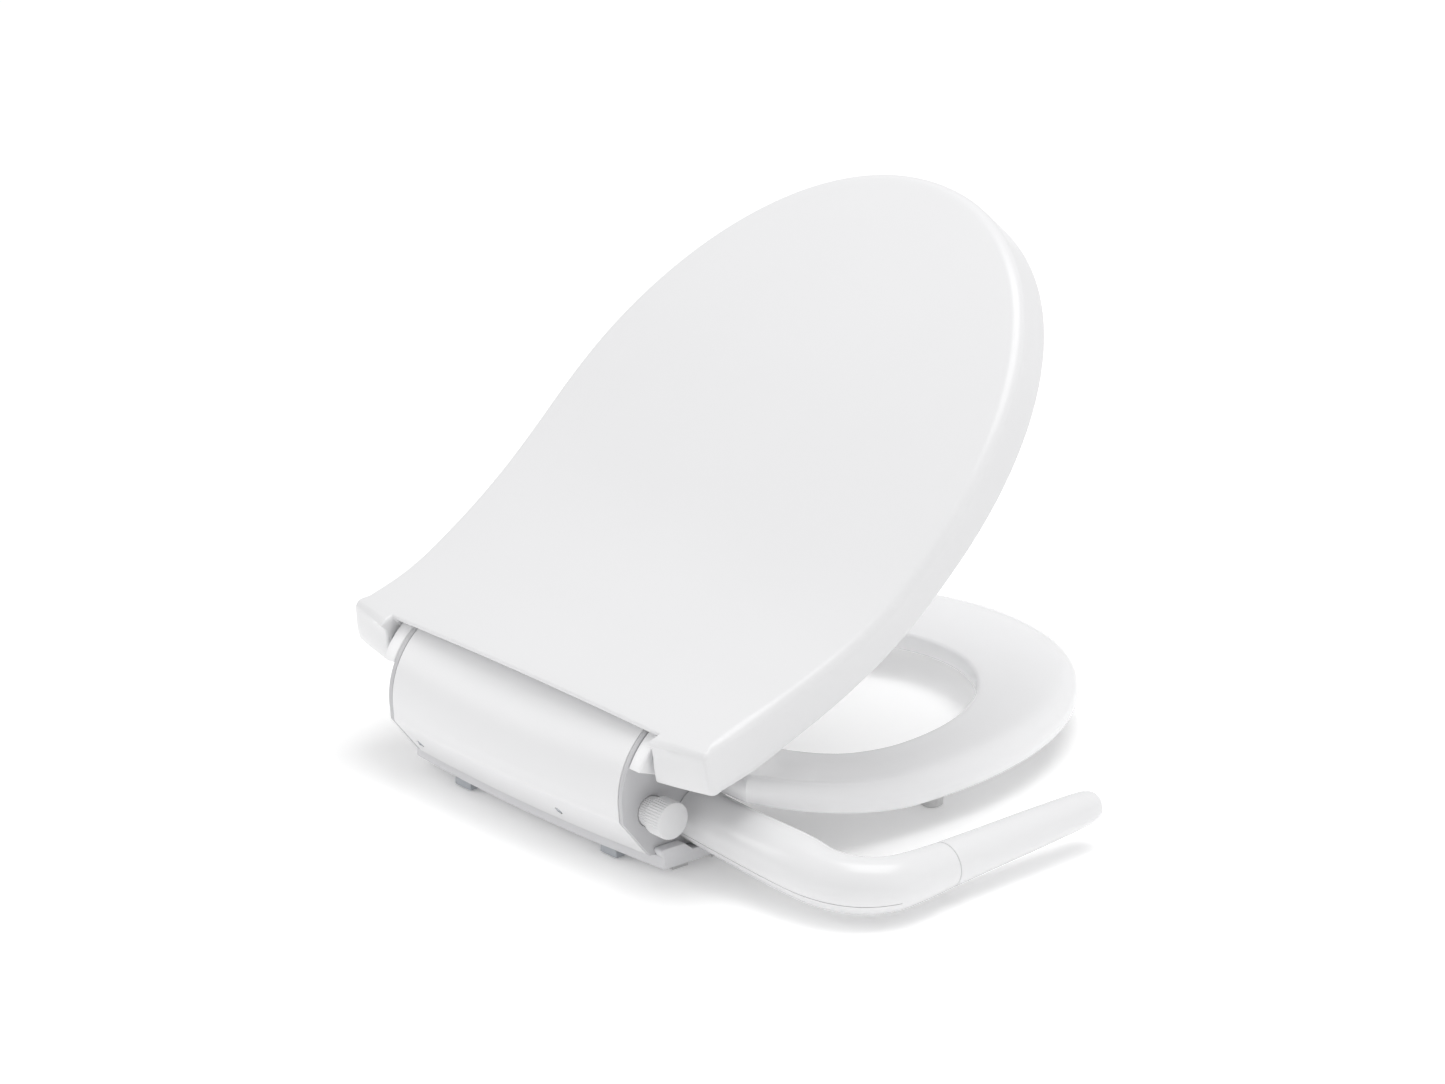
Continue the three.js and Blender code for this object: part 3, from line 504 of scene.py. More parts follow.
def makeEndCaps():
    h = housing
    front = h["baseFront"] - 6
    corners = backProfile() + [
        (front, h["footZ"], 2), (front, h["noseTopZ"] - 8, 4), (h["topFrontY"] + 5, h["noseTopZ"], 2),
        (h["topFrontY"], h["noseTopZ"] + 4, 2), (h["topFrontY"], h["topFrontZ"], 2),
        (lipY() + 2.6, h["topRearZ"], 1), (lipY() + 1, h["lipZ"] - 2, 0.4)]
    caps = (("leftEndCap", "end_cap_left", -1, inlet, inlet["radius"] + 0.6),
            ("rightEndCap", "end_cap_right", 1, knob, knob["neckRadius"] + 0.4))
    for name, node, side, neck, radius in caps:
        a, b = between(side, h["halfWidth"] - h["capThickness"], h["halfWidth"])
        # the caps' grey finish carries painted shade: white plastic darkened as if under the lid's ears
        cap = meshPiece(name, *plate(rounded(corners), a, b, h["capEdge"], alongX), "satinAbsEnd", 30)
        # one hole for the hinge pin, one for the inlet or the knob
        combine(cap, pinTool(a - 2, 8), "DIFFERENCE")
        combine(cap, rodTool((a - 2, neck["y"], neck["z"]), (1, 0, 0), 8, radius), "DIFFERENCE")
        finishPiece(smoothed(cap, 30), "housing", "end", node)


def makeFrontCover():
    h = housing
    wall = h["wall"]
    topY = h["topFrontY"]
    noseY = h["noseFrontY"]
    corners = [
        (lipY() + 3, h["topRearZ"], 0.6), (topY, h["topFrontZ"], 5), (topY, h["noseTopZ"] + 4, 3),
        (topY + 5, h["noseTopZ"], 3), (noseY, h["noseFrontZ"], 6), (noseY, 20, 0.8),
        (noseY - wall, 20, 0.8), (noseY - wall, h["noseFrontZ"] - 2, 4),
        (topY + 3.5, h["noseTopZ"] - 2.6, 2), (topY - wall, h["noseTopZ"] + 3, 2),
        (topY - wall, h["topFrontZ"] - 2, 3), (lipY() + 3, h["topRearZ"] - 3, 0.6)]
    end = h["halfWidth"] - h["capThickness"] - h["gap"]
    slab = plate(rounded(corners, 6), -end, end, 0.5, alongX)
    cover = meshPiece("frontCover", *slab, "glossAbsHousing", 30)
    gate = h["gateHalfWidth"]
    gateTool = boxTool((-gate, noseY - 8, h["gateLowZ"]), (gate, noseY + 4, h["gateHighZ"]))
    combine(cover, gateTool, "DIFFERENCE")
    # the nose stands out in the middle only
    for side in (-1, 1):
        a, b = between(side, h["noseHalfWidth"], h["halfWidth"] + 18)
        combine(cover, boxTool((a, topY + 12, 0), (b, 200, 60)), "DIFFERENCE")
    finishPiece(smoothed(cover, 30), "housing", "housing", "front_cover")


base = {
    "halfWidth": 119.5, "rear": -15.6, "low": 6, "thickness": 8,
    "boltSpacing": 140, "slotHalfLength": 9, "slotHalfWidth": 4.4,
    # y, z and radius of the lug's corners, seen from the side
    "lug": ((-9.6, 13, 0), (-13.5, 19.3, 1.5), (6, 19.3, 2), (14, 13, 0)),
    "windowHalfWidth": 50, "windowRear": 12, "windowFront": 40, "cutTop": 40,
}


def makeBasePlate():
    b = base
    rear = []
    for i in range(33):
        x = b["halfWidth"] * (i / 16 - 1)
        rear.append((x, b["rear"] + housing["bow"] * x * x, 1.5 if i in (0, 32) else 0))
    corners = rear + [(b["halfWidth"], housing["baseFront"], 3), (-b["halfWidth"], housing["baseFront"], 3)]
    low = b["low"]
    slab = plate(rounded(corners), low, low + b["thickness"], 0.8, alongZ)
    foot = meshPiece("basePlate", *slab, "satinAbsBase", 30)
    for side in (-1, 1):
        a, c = between(side, housing["halfWidth"] + housing["gap"], b["halfWidth"])
        lug = plate(rounded(b["lug"]), a, c, 0.6, alongX)
        combine(foot, meshPiece("tool", *lug, "satinAbsBase"), "UNION")
        x = side * b["boltSpacing"] / 2
        length = b["slotHalfLength"]
        width = b["slotHalfWidth"]
        combine(foot, boxTool((x - length, -width, 0), (x + length, width, b["cutTop"])), "DIFFERENCE")
    # a window under the wands
    half = b["windowHalfWidth"]
    window = boxTool((-half, b["windowRear"], 0), (half, b["windowFront"], b["cutTop"]))
    combine(foot, window, "DIFFERENCE")
    finishPiece(smoothed(foot, 30), "housing", "base", "base_plate")


# geometry node trees
def newTree(name, sizes):
    tree = bpy.data.node_groups.new(name, "GeometryNodeTree")
    kinds = {int: "NodeSocketInt", float: "NodeSocketFloat", str: "NodeSocketMaterial"}
    tree.interface.new_socket("Geometry", in_out="INPUT", socket_type="NodeSocketGeometry")
    for label, value in sizes.items():
        tree.interface.new_socket(label, in_out="INPUT", socket_type=kinds[type(value)])
    tree.interface.new_socket("Geometry", in_out="OUTPUT", socket_type="NodeSocketGeometry")
    return tree, addNode(tree, "NodeGroupInput").outputs


def closeTree(tree, size, part, turn=None):
    # one part on each point
    inputs = {"Points": size["Geometry"], "Instance": part}
    if turn:
        inputs["Rotation"] = turn
    placed = addNode(tree, "GeometryNodeInstanceOnPoints", inputs)
    whole = addNode(tree, "GeometryNodeRealizeInstances", {"Geometry": placed.outputs[0]})
    painted = addNode(tree, "GeometryNodeSetMaterial", {
        "Geometry": whole.outputs[0], "Material": size["Material"]})
    addNode(tree, "NodeGroupOutput", {"Geometry": painted.outputs[0]})
    return tree


def grown(name, tree, sizes, places):
    mesh = bpy.data.meshes.new(name)
    mesh.from_pydata([Vector(p) * mm for p in places], [], [])
    item = bpy.data.objects.new(name, mesh)
    scene.collection.objects.link(item)
    step = item.modifiers.new("grow", "NODES")
    step.node_group = tree
    for socket in tree.interface.items_tree:
        if socket.in_out == "INPUT" and socket.name in sizes:
            value = sizes[socket.name]
            step[socket.identifier] = materials[value] if isinstance(value, str) else value
    return smoothed(baked(item))


def puckTree(sizes):
    # a turned foot on each point: foot radius below, head radius above, both edges rounded,
    # and "Flutes" grooves round it
    tree, size = newTree("puckOnPoints", sizes)
    body = addNode(tree, "GeometryNodeMeshCylinder", {
        "Vertices": size["Sides"], "Side Segments": 28, "Radius": 1.0, "Depth": size["Height"]})
    place = addNode(tree, "GeometryNodeInputPosition").outputs[0]
    part = addNode(tree, "ShaderNodeSeparateXYZ", {0: place}).outputs
    share = ("ADD", ("DIVIDE", part["Z"], size["Height"]), 0.5)
    grow = ("MULTIPLY", ("SUBTRACT", size["Head Radius"], size["Foot Radius"]), share)
    toEnd = ("SUBTRACT", ("MULTIPLY", size["Height"], 0.5), ("ABSOLUTE", part["Z"]))
    # 1 at either end, and 0 from where the rounded edge stops
    rise = ("SUBTRACT", 1.0, ("DIVIDE", toEnd, size["Edge"]))
    near = addNode(tree, "ShaderNodeMath", {0: rise, 1: 0.0}, operation="MAXIMUM").outputs[0]
    lost = ("SUBTRACT", 1.0, ("SQRT", ("SUBTRACT", 1.0001, ("POWER", near, 2.0))))
    angle = ("MULTIPLY", ("ARCTAN2", part["Y"], part["X"]), size["Flutes"])
    wave = ("MULTIPLY", ("ADD", ("COSINE", angle), 1.0), 0.5)
    groove = ("MULTIPLY", ("MULTIPLY", wave, size["Flute Depth"]), ("SUBTRACT", 1.0, near))
    plain = ("SUBTRACT", ("ADD", size["Foot Radius"], grow), ("MULTIPLY", lost, size["Edge"]))
    radius = addNode(tree, "ShaderNodeMath", {0: plain, 1: groove}, operation="SUBTRACT").outputs[0]
    spot = addNode(tree, "ShaderNodeCombineXYZ", {
        "X": ("MULTIPLY", part["X"], radius), "Y": ("MULTIPLY", part["Y"], radius), "Z": part["Z"]})
    shaped = addNode(tree, "GeometryNodeSetPosition", {
        "Geometry": body.outputs["Mesh"], "Position": spot.outputs[0]})
    tilt = addNode(tree, "ShaderNodeCombineXYZ", {"Y": size["Tilt"]})
    return closeTree(tree, size, shaped.outputs[0], tilt.outputs[0])


# each piece gives its own sizes: only the names and kinds count here
pucks = puckTree({
    "Sides": 64, "Height": 1.0, "Foot Radius": 1.0, "Head Radius": 1.0, "Edge": 0.1,
    "Flutes": 0.0, "Flute Depth": 0.0, "Tilt": 0.0, "Material": "satinAbsKnob"})


def puckPiece(name, places, height, foot, head, edge, material, sides=64, flutes=0, groove=0, tilt=0):
    sizes = {
        "Sides": sides, "Height": height * mm, "Foot Radius": foot * mm, "Head Radius": head * mm,
        "Edge": edge * mm, "Flutes": float(flutes), "Flute Depth": groove * mm, "Tilt": float(tilt),
        "Material": material}
    return grown(name, pucks, sizes, places)


def crossScrewTree(sizes):
    # a domed screw with a cross recess on each point
    tree, size = newTree("crossScrewOnPoints", sizes)
    head = addNode(tree, "GeometryNodeMeshUVSphere", {"Segments": 32, "Rings": 24, "Radius": size["Radius"]})
    flat = addNode(tree, "GeometryNodeTransform", {"Geometry": head.outputs[0], "Scale": (1.0, 1.0, 0.45)})
    bladeSize = addNode(tree, "ShaderNodeCombineXYZ", {
        "X": size["Cross"], "Y": size["Blade"], "Z": size["Radius"]})
    lift = addNode(tree, "ShaderNodeCombineXYZ", {"Z": ("MULTIPLY", size["Radius"], 0.75)})
    blade = addNode(tree, "GeometryNodeMeshCube", {"Size": bladeSize.outputs[0]})
    raised = addNode(tree, "GeometryNodeTransform", {
        "Geometry": blade.outputs[0], "Translation": lift.outputs[0]})
    turnedBlade = addNode(tree, "GeometryNodeTransform", {
        "Geometry": raised.outputs[0], "Rotation": (0.0, 0.0, math.pi / 2)})
    cut = addNode(tree, "GeometryNodeMeshBoolean", {"Mesh 1": flat.outputs[0]}, operation="DIFFERENCE")
    tree.links.new(raised.outputs[0], cut.inputs["Mesh 2"])
    tree.links.new(turnedBlade.outputs[0], cut.inputs["Mesh 2"])
    tilt = addNode(tree, "ShaderNodeCombineXYZ", {"X": size["Tilt"]})
    return closeTree(tree, size, cut.outputs[0], tilt.outputs[0])


screws = {
    "places": ((-97, 24.6), (41, 24.6)), "radius": 2.1, "cross": 2.4, "blade": 0.6, "sunk": 0.5,
}


def footSurfaceY(x, z):
    h = housing
    slope = (h["footY"] - h["foldY"]) / (h["foldZ"] - h["footZ"])
    return bowedX(h["footY"] - slope * (z - h["footZ"]), z, x)[1]


def makeScrews():
    s = screws
    h = housing
    tilt = math.pi / 2 + math.atan2(h["footY"] - h["foldY"], h["foldZ"] - h["footZ"])
    sizes = {
        "Radius": s["radius"] * mm, "Cross": s["cross"] * mm, "Blade": s["blade"] * mm,
        "Tilt": tilt, "Material": "zincPlatedSteel"}
    places = [(x, footSurfaceY(x, z) + s["sunk"], z) for x, z in s["places"]]
    piece = grown("coverScrews", crossScrewTree(sizes), sizes, places)
    finishPiece(piece, "housing", "steel", "cover_screw_1", "cover_screw_2")


def padTree(sizes):
    # a rubber block with grip ribs across its underside on each point
    tree, size = newTree("ribbedPadOnPoints", sizes)
    blockSize = addNode(tree, "ShaderNodeCombineXYZ", {
        "X": size["Length"], "Y": size["Width"], "Z": ("SUBTRACT", size["Height"], size["Rib"])})
    block = addNode(tree, "GeometryNodeMeshCube", {"Size": blockSize.outputs[0]})
    halfRib = ("MULTIPLY", size["Rib"], 0.5)
    lift = addNode(tree, "ShaderNodeCombineXYZ", {"Z": halfRib})
    raised = addNode(tree, "GeometryNodeTransform", {
        "Geometry": block.outputs[0], "Translation": lift.outputs[0]})
    ribSize = addNode(tree, "ShaderNodeCombineXYZ", {"X": size["Rib"], "Y": size["Width"], "Z": size["Rib"]})
    rib = addNode(tree, "GeometryNodeMeshCube", {"Size": ribSize.outputs[0]})
    usable = ("SUBTRACT", size["Length"], size["Rib"])
    start = addNode(tree, "ShaderNodeCombineXYZ", {
        "X": ("MULTIPLY", usable, -0.5), "Z": ("ADD", ("MULTIPLY", size["Height"], -0.5), halfRib)})
    step = addNode(tree, "ShaderNodeCombineXYZ", {"X": ("DIVIDE", usable, ("SUBTRACT", size["Ribs"], 1.0))})
    line = addNode(tree, "GeometryNodeMeshLine", {
        "Count": size["Ribs"], "Start Location": start.outputs[0], "Offset": step.outputs[0]})
    ribs = addNode(tree, "GeometryNodeInstanceOnPoints", {
        "Points": line.outputs[0], "Instance": rib.outputs[0]})
    both = addNode(tree, "GeometryNodeJoinGeometry")
    tree.links.new(raised.outputs[0], both.inputs[0])
    tree.links.new(ribs.outputs[0], both.inputs[0])
    return closeTree(tree, size, both.outputs[0])


pads = {
    "length": 24, "middleLength": 40, "width": 12, "height": 5.6, "rib": 1.2, "ribs": 9, "middleRibs": 15,
    "cornerX": 100, "rearY": 9, "frontY": 40, "edge": 0.25,
}


def makePads():
    p = pads
    sizes = {
        "Length": p["length"] * mm, "Width": p["width"] * mm, "Height": p["height"] * mm,
        "Rib": p["rib"] * mm, "Ribs": p["ribs"], "Material": "paleSiliconeRubber"}
    tree = padTree(sizes)
    z = p["height"] / 2
    corners = [(x, y, z) for x in (-p["cornerX"], p["cornerX"]) for y in (p["rearY"], p["frontY"])]
    corner = grown("cornerPads", tree, sizes, corners)
    names = [f"base_pad_{end}_{side}" for side in ("left", "right") for end in ("rear", "front")]
    finishPiece(softened(corner, p["edge"]), "housing", "rubber", *names)
    sizes.update({"Length": p["middleLength"] * mm, "Ribs": p["middleRibs"]})
    middle = grown("middlePad", tree, sizes, [(0, 0, z)])
    finishPiece(softened(middle, p["edge"]), "housing", "rubber", "base_pad_centre")


bolts = {
    "low": 0.4, "high": 15, "radius": 4, "headRadius": 8, "headTopRadius": 7.6, "headHeight": 5,
    "headLift": 0.4, "washerRadius": 8.8, "washerHeight": 1, "edge": 0.6, "washerEdge": 0.3,
}


def makeBolts():
    b = bolts
    top = base["low"] + base["thickness"]

    def boltPart(name, middle, *shape, **more):
        places = [(side * base["boltSpacing"] / 2, 0, middle) for side in (-1, 1)]
        return puckPiece(name, places, *shape, "zincPlatedSteel", **more)

    parts = [
        boltPart("boltShank", (b["low"] + b["high"]) / 2, b["high"] - b["low"], b["radius"], b["radius"],
                 b["edge"]),
        boltPart("boltHead", top + b["headLift"] + b["headHeight"] / 2, b["headHeight"], b["headRadius"],
                 b["headTopRadius"], b["edge"], sides=6),
        boltPart("boltWasher", top + b["washerHeight"] / 2, b["washerHeight"], b["washerRadius"],
                 b["washerRadius"], b["washerEdge"])]
    joined = joinPieces("mountingBolts", parts)
    finishPiece(joined, "housing", "steel", "mounting_bolt_left", "mounting_bolt_right")


def joinPieces(name, parts):
    with bpy.context.temp_override(active_object=parts[0], selected_editable_objects=parts):
        bpy.ops.object.join()
    parts[0].name = name
    return parts[0]


# lid
lid = {
    "open": 41.7, "halfWidth": 182, "rearHalfWidth": 167.6, "widestY": 176.8, "front": 403.8, "rear": -6.7,
    "wall": 3.4, "crown": 9, "edgeRadius": 7, "lipRadius": 1.2, "lean": 1.6, "cornerRadius": 3.0,
    "rearEdge": 2.2, "skirtBottom": 27.8, "skirtRise": 31, "riseStart": 157, "earLift": 0.064,
    "earY": -30, "notchHalfWidth": 127, "notchY": -9.9, "cornerBow": 0.0008, "rearGap": 0.2,
    "rearWall": 3.0, "pinEnd": 138, "cheekInner": 125, "cheekOuter": 130, "cheekFront": 21,
    "bumperX": 150, "bumperY": 200, "bumperHeight": 4.3, "bumperDrop": 6, "spacing": 5.5,
}
# side view of the lid's upper edge, closed
lidEdgeKnots = [(-60, 118), (-6.7, 93.4), (55, 68.1), (137, 50.8), (260, 53), (403.8, 57.7)]


def splinePoints(knots, count):
    # the same spline as the CAD's, whose ends repeat their last point
    found = []
    last = len(knots) - 1
    for n in range(count):
        at = n / (count - 1) * last
        i = min(int(at), last - 1)
        s = at - i
        a, b, c, d = (np.array(knots[max(0, min(last, i + k))], float) for k in (-1, 0, 1, 2))
        v = (c - a) / 2
        w = (d - b) / 2
        found.append((2 * b - 2 * c + v + w) * s ** 3 + (-3 * b + 3 * c - 2 * v - w) * s ** 2 + v * s + b)
    return np.array(found)


lidEdge = splinePoints(lidEdgeKnots, 800)


def lidEdgeZ(y):
    return float(np.interp(y, lidEdge[:, 0], lidEdge[:, 1]))


def lidBottomZ(y):
    share = max(0, (lid["riseStart"] - y) / (lid["riseStart"] - lid["rear"]))
    climb = lid["earLift"] * max(0, lid["rear"] + 14.7 - y) ** 1.3
    return lid["skirtBottom"] + lid["skirtRise"] * share ** 2.1 + climb


def lidSideX(y):
    s = (lid["widestY"] - y) / (lid["widestY"] - lid["rear"])
    taper = 1.02 * s ** 2 + 2.54 * s ** 3 - 2.56 * s ** 4
    return lid["halfWidth"] - (lid["halfWidth"] - lid["rearHalfWidth"]) * taper


def lidTopZ(x, y):
    ahead = min(1, max(0, (y - lid["widestY"]) / (lid["front"] - lid["widestY"])))
    half = lid["halfWidth"] * math.sqrt(max(0.001, 1 - ahead ** 2)) if y > lid["widestY"] else lidSideX(y)
    return lidEdgeZ(y) + lid["crown"] * max(0, 1 - (x / half) ** 2) * (1 - ahead ** 2)


def earY(x, z, radius):
    lift = max(0, x * x - lid["notchHalfWidth"] ** 2) * lid["cornerBow"]
    away = min(radius * 0.985, abs(z - housing["backZ"]))
    return housing["backY"] - math.sqrt(radius ** 2 - away ** 2) + lift


def lidFrontCurve(sideways, ahead):
    curve = []
    count = 110
    for i in range(count + 1):
        a = math.pi * i / count
        across = math.copysign(abs(math.cos(a)) ** (2 / 2.06), math.cos(a))
        reach = abs(math.sin(a)) ** (2 / 2.08)
        curve.append((sideways * across, lid["widestY"] + ahead * reach, 0))
    return curve


def rearPointY(x, level, radius, rearIn):
    # the level and the round back depend on each other, and settle in six rounds
    y = -25.0
    for _ in range(6):
        y = earY(x, level(x, y), radius) + rearIn
    return y


def lidSide(sideX, rearY, radius):
    # the rear corner of the ear, and the side from there to the widest place
    cornerX = sideX(lid["earY"])
    cornerY = rearY(cornerX)
    ys = [cornerY + 7 + (lid["widestY"] - cornerY - 7) * (i / 34) for i in range(34)]
    return [(cornerX, cornerY, radius)] + [(sideX(y), y, 0) for y in ys]


def lidRing(share, sidewaysIn, rearIn, lift):
    # one level of the outer skin: share 0 is the skirt's lower edge and 1 is the top edge
    def level(x, y):
        return lidBottomZ(y) + (lidTopZ(x, y) - lidBottomZ(y)) * share - lift(y)

    def rearY(x):
        return rearPointY(x, level, housing["backRadius"] - lid["rearGap"], rearIn)

    notchX = lid["notchHalfWidth"] + rearIn
    notchY = lid["notchY"] + rearIn
    right = lidSide(lambda y: lidSideX(y) - sidewaysIn(y), rearY, lid["cornerRadius"])
    # the inset at the front is the one far ahead of the ears
    frontIn = sidewaysIn(lid["front"])
    ahead = lid["front"] - lid["widestY"] - frontIn
    front = lidFrontCurve(lid["halfWidth"] - frontIn, ahead)
    rearX = right[0][0]
    ear = [rearX + (notchX - rearX) * k / 5 for k in range(1, 5)]
    drop = rearY(notchX)
    rear = [(-x, rearY(x), 0) for x in ear] + [(-notchX, drop, 2.0)]
    rear += [(-notchX, drop + (notchY - drop) * k / 4, 0) for k in (1, 2, 3)] + [(-notchX, notchY, 1.5)]
    edge = [(notchX * (k / 14 - 1), notchY, 0) for k in range(1, 28)]
    outline = rounded(right + front + mirrored(right) + rear + edge + mirrored(rear), 5)
    return [(x, y, level(x, y)) for x, y in outline]


def lidOuter():
    rings = []
    edge = lid["edgeRadius"]
    lip = lid["lipRadius"]

    def sideRadius(y):
        # the upper edge is sharper at the ears
        return lid["rearEdge"] + (edge - lid["rearEdge"]) * min(1, max(0, (y + 22) / 45)) ** 0.8

    # rounded lower lip, then the wall, then the rounded upper edge
    for k in range(4):
        a = math.pi / 2 * k / 3
        inward = lip * (1 - math.sin(a))
        rise = lip * (1 - math.cos(a))
        rings.append(lidRing(0, lambda y: inward, inward, lambda y: -rise))
    for k in range(1, 7):
        share = k / 7
        rings.append(lidRing(share, lambda y: lid["lean"] * share, 0,
                             lambda y: sideRadius(y) * share - lip * (1 - share)))
    for k in range(9):
        a = math.pi / 2 * k / 8
        rings.append(lidRing(
            1, lambda y: lid["lean"] + sideRadius(y) * (1 - math.cos(a)), lid["rearEdge"] * (1 - math.cos(a)),
            lambda y: sideRadius(y) * (1 - math.sin(a))))
    return closedBody(rings, lid["spacing"], lidTopZ)


def lidCavityRing(depth, sidewaysIn, lift):
    # depth 1 is well under the skirt and 0 is the ceiling
    wall = lid["wall"]

    def level(x, y):
        return lidTopZ(x, y) - wall - lift - depth * (lidTopZ(x, y) - lidBottomZ(y) + 12)

    def rearY(x):
        return rearPointY(x, level, housing["backRadius"] - lid["rearWall"], 0)

    right = lidSide(lambda y: lidSideX(y) - wall - sidewaysIn, rearY, 2)
    ahead = lid["front"] - lid["widestY"] - wall - sidewaysIn
    front = lidFrontCurve(lid["halfWidth"] - wall - sidewaysIn, ahead)
    outer = lid["cheekOuter"]
    inner = lid["cheekInner"]
    cheek = [(-outer, rearY(outer), 1), (-outer, lid["cheekFront"], 1),
             (-inner, lid["cheekFront"], 1), (-inner, -60, 0)]
    outline = rounded(right + front + mirrored(right) + cheek + mirrored(cheek), 4)
    return [(x, y, level(x, y)) for x, y in outline]


def lidCavity():
    inner = max(1, lid["edgeRadius"] - lid["wall"])
    rings = [lidCavityRing(1, 0, 0), lidCavityRing(0.5, 0.8, 0)]
    for k in range(6):
        a = math.pi / 2 * k / 5
        rings.append(lidCavityRing(0, lid["lean"] + inner * (1 - math.cos(a)), inner * (1 - math.sin(a))))
    return closedBody(rings, lid["spacing"], lambda x, y: lidTopZ(x, y) - lid["wall"])


def opened(item):
    # turns a piece drawn with the lid closed to the lid's place at rest
    hinge = Vector((0, housing["hingeY"], housing["hingeZ"])) * mm
    turn = Matrix.Rotation(math.radians(lid["open"]), 4, "X")
    item.data.transform(Matrix.Translation(hinge) @ turn @ Matrix.Translation(-hinge))
    return item


def makeLid():
    shell = meshPiece("lidShell", *lidOuter(), "glossPolypropyleneLid", 40)
    hollow = meshPiece("tool", *lidCavity(), "glossPolypropyleneLid", 40)
    combine(shell, hollow, "DIFFERENCE")
    combine(shell, pinTool(-lid["pinEnd"], 2 * lid["pinEnd"]), "DIFFERENCE")
    finishPiece(opened(smoothed(shell, 40)), "lid", "shell", "lid_shell")
    places = []
    high = lid["bumperHeight"]
    for x in (-lid["bumperX"], lid["bumperX"]):
        top = lidTopZ(x, lid["bumperY"]) - lid["wall"] - housing["gap"]
        places.append((x, lid["bumperY"], top - lid["bumperDrop"] + high / 2))
    bumpers = opened(puckPiece("lidBumpers", places, high, 6, 7, 1.2, "paleSiliconeRubber"))
    finishPiece(bumpers, "lid", "rubber", "lid_bumper_left", "lid_bumper_right")


# seat
seat = {
    "halfWidth": 168, "rearHalfWidth": 153, "widestY": 171, "front": 385, "rear": 25, "bottom": 19.5,
    "rise": 37, "riseStart": 157, "crest": 18, "innerEdge": 13, "wall": 3.2,
    "openingHalf": 106.5, "openingMid": 190.7, "openingFront": 320, "openingRear": 100,
    "earInner": 112.6, "earOuter": 123, "stations": 260, "cornerTurn": 0.72,
    "bumpers": ((98, 300), (137.25, 190)),
}


def seatBottomZ(y):
    return seat["bottom"] + seat["rise"] * max(0, (seat["riseStart"] - y) / (seat["riseStart"] - 12)) ** 1.7


def seatStation(turn):
    s = seat
    a = turn * 2 * math.pi
    c = math.cos(a)
    v = math.sin(a)
    reach = s["openingFront"] - s["openingMid"] if v >= 0 else s["openingMid"] - s["openingRear"]
    inner = (s["openingHalf"] * c, s["openingMid"] + reach * v)
    if v >= 0:
        return (s["halfWidth"] * math.copysign(abs(c) ** (2 / 2.06), c),
                s["widestY"] + (s["front"] - s["widestY"]) * v ** (2 / 2.08)), inner
    down = -v
    y = s["widestY"] - (s["widestY"] - s["rear"]) * min(1, down / s["cornerTurn"])
    k = (s["widestY"] - y) / (s["widestY"] - s["rear"])
    half = s["halfWidth"] - (s["halfWidth"] - s["rearHalfWidth"]) * k ** 2
    cornerCos = math.sqrt(1 - s["cornerTurn"] ** 2)
    x = math.copysign(half, c) if down < s["cornerTurn"] else half * c / cornerCos
    return (x, y), inner


def seatSection(width):
    s = seat
    crest = s["crest"]
    lip = s["innerEdge"]
    # the visible skin from the outer foot over the crest to the opening's edge, as one smooth curve
    knots = [(0, 1.0), (-1.6, 5), (-2, 9), (1, 14), (6, crest - 1), (13, crest),
             (0.45 * width, crest - 1.5), (0.75 * width, crest - 4), (width - 4.5, lip - 0.3),
             (width - 1.2, lip - 1.4), (width, lip - 4.2), (width, 1.0)]
    skin = [tuple(through(knots, k / 44)) for k in range(45)]
    wall = s["wall"]
    under = [(width - 0.9, 0), (width - wall + 0.6, 0), (width - wall, 0.8), (width - wall, lip - 4.5),
             (0.6 * width, lip - 3), (14, lip - 2), (wall + 0.6, 8.5), (wall, 7.5), (wall, 0.8),
             (wall - 0.6, 0), (0.9, 0)]
    return skin + under


def makeSeat():
    s = seat
    rings = []
    for i in range(s["stations"]):
        outer, inner = seatStation(i / s["stations"])
        width = math.dist(outer, inner)
        ring = []
        for across, height in seatSection(width):
            share = across / width
            x = outer[0] + (inner[0] - outer[0]) * share
            y = outer[1] + (inner[1] - outer[1]) * share
            ring.append((x, y, seatBottomZ(y) + height))
        rings.append(ring)
    points, faces = loft(rings, around=True)
    ringPiece = meshPiece("seatRing", points, faces, "glossPolypropyleneSeat", 40)
    neckY = s["rear"] - 4
    frontY = s["rear"] + 26
    corners = backArc(housing["backRadius"] - 0.2, 97, 76, 16) + [
        (-22, 72.5, 1.5), (-6, 66.5, 3), (neckY, 58, 4), (frontY, seatBottomZ(frontY) + 9, 0),
        (frontY, seatBottomZ(frontY) + 12, 0), (neckY, 69, 4), (2, 86, 4)]
    for side in (-1, 1):
        a, b = between(side, s["earInner"], s["earOuter"])
        ear = meshPiece("tool", *plate(rounded(corners), a, b, 1.0, alongX), "glossPolypropyleneSeat")
        combine(ringPiece, ear, "UNION")
    combine(ringPiece, pinTool(-160, 320), "DIFFERENCE")
    finishPiece(smoothed(ringPiece, 40), "seat", "shell", "seat_ring")
    # the feet reach from the rim to the hollow's ceiling
    high = s["bottom"] + s["innerEdge"] - 4.6
    places = [(side * x, y, high / 2) for x, y in s["bumpers"] for side in (-1, 1)]
    bumpers = puckPiece("seatBumpers", places, high, 7, 9, 1.5, "paleSiliconeRubber")
    names = [f"seat_bumper_{end}_{side}" for end in ("front", "rear") for side in ("left", "right")]
    finishPiece(bumpers, "seat", "rubber", *names)


# side arm and grip
arm = {
    "startX": 112.5, "bore": 0.62, "gap": 0.4, "coverEnd": 0.72, "seam": 0.42, "steps": 150, "sides": 72,
    "gripStart": (250.7, 97.6, 22), "gripEnd": (246.3, 226, 25.6), "gripBore": 6.2, "gripBoreDepth": 34,
}
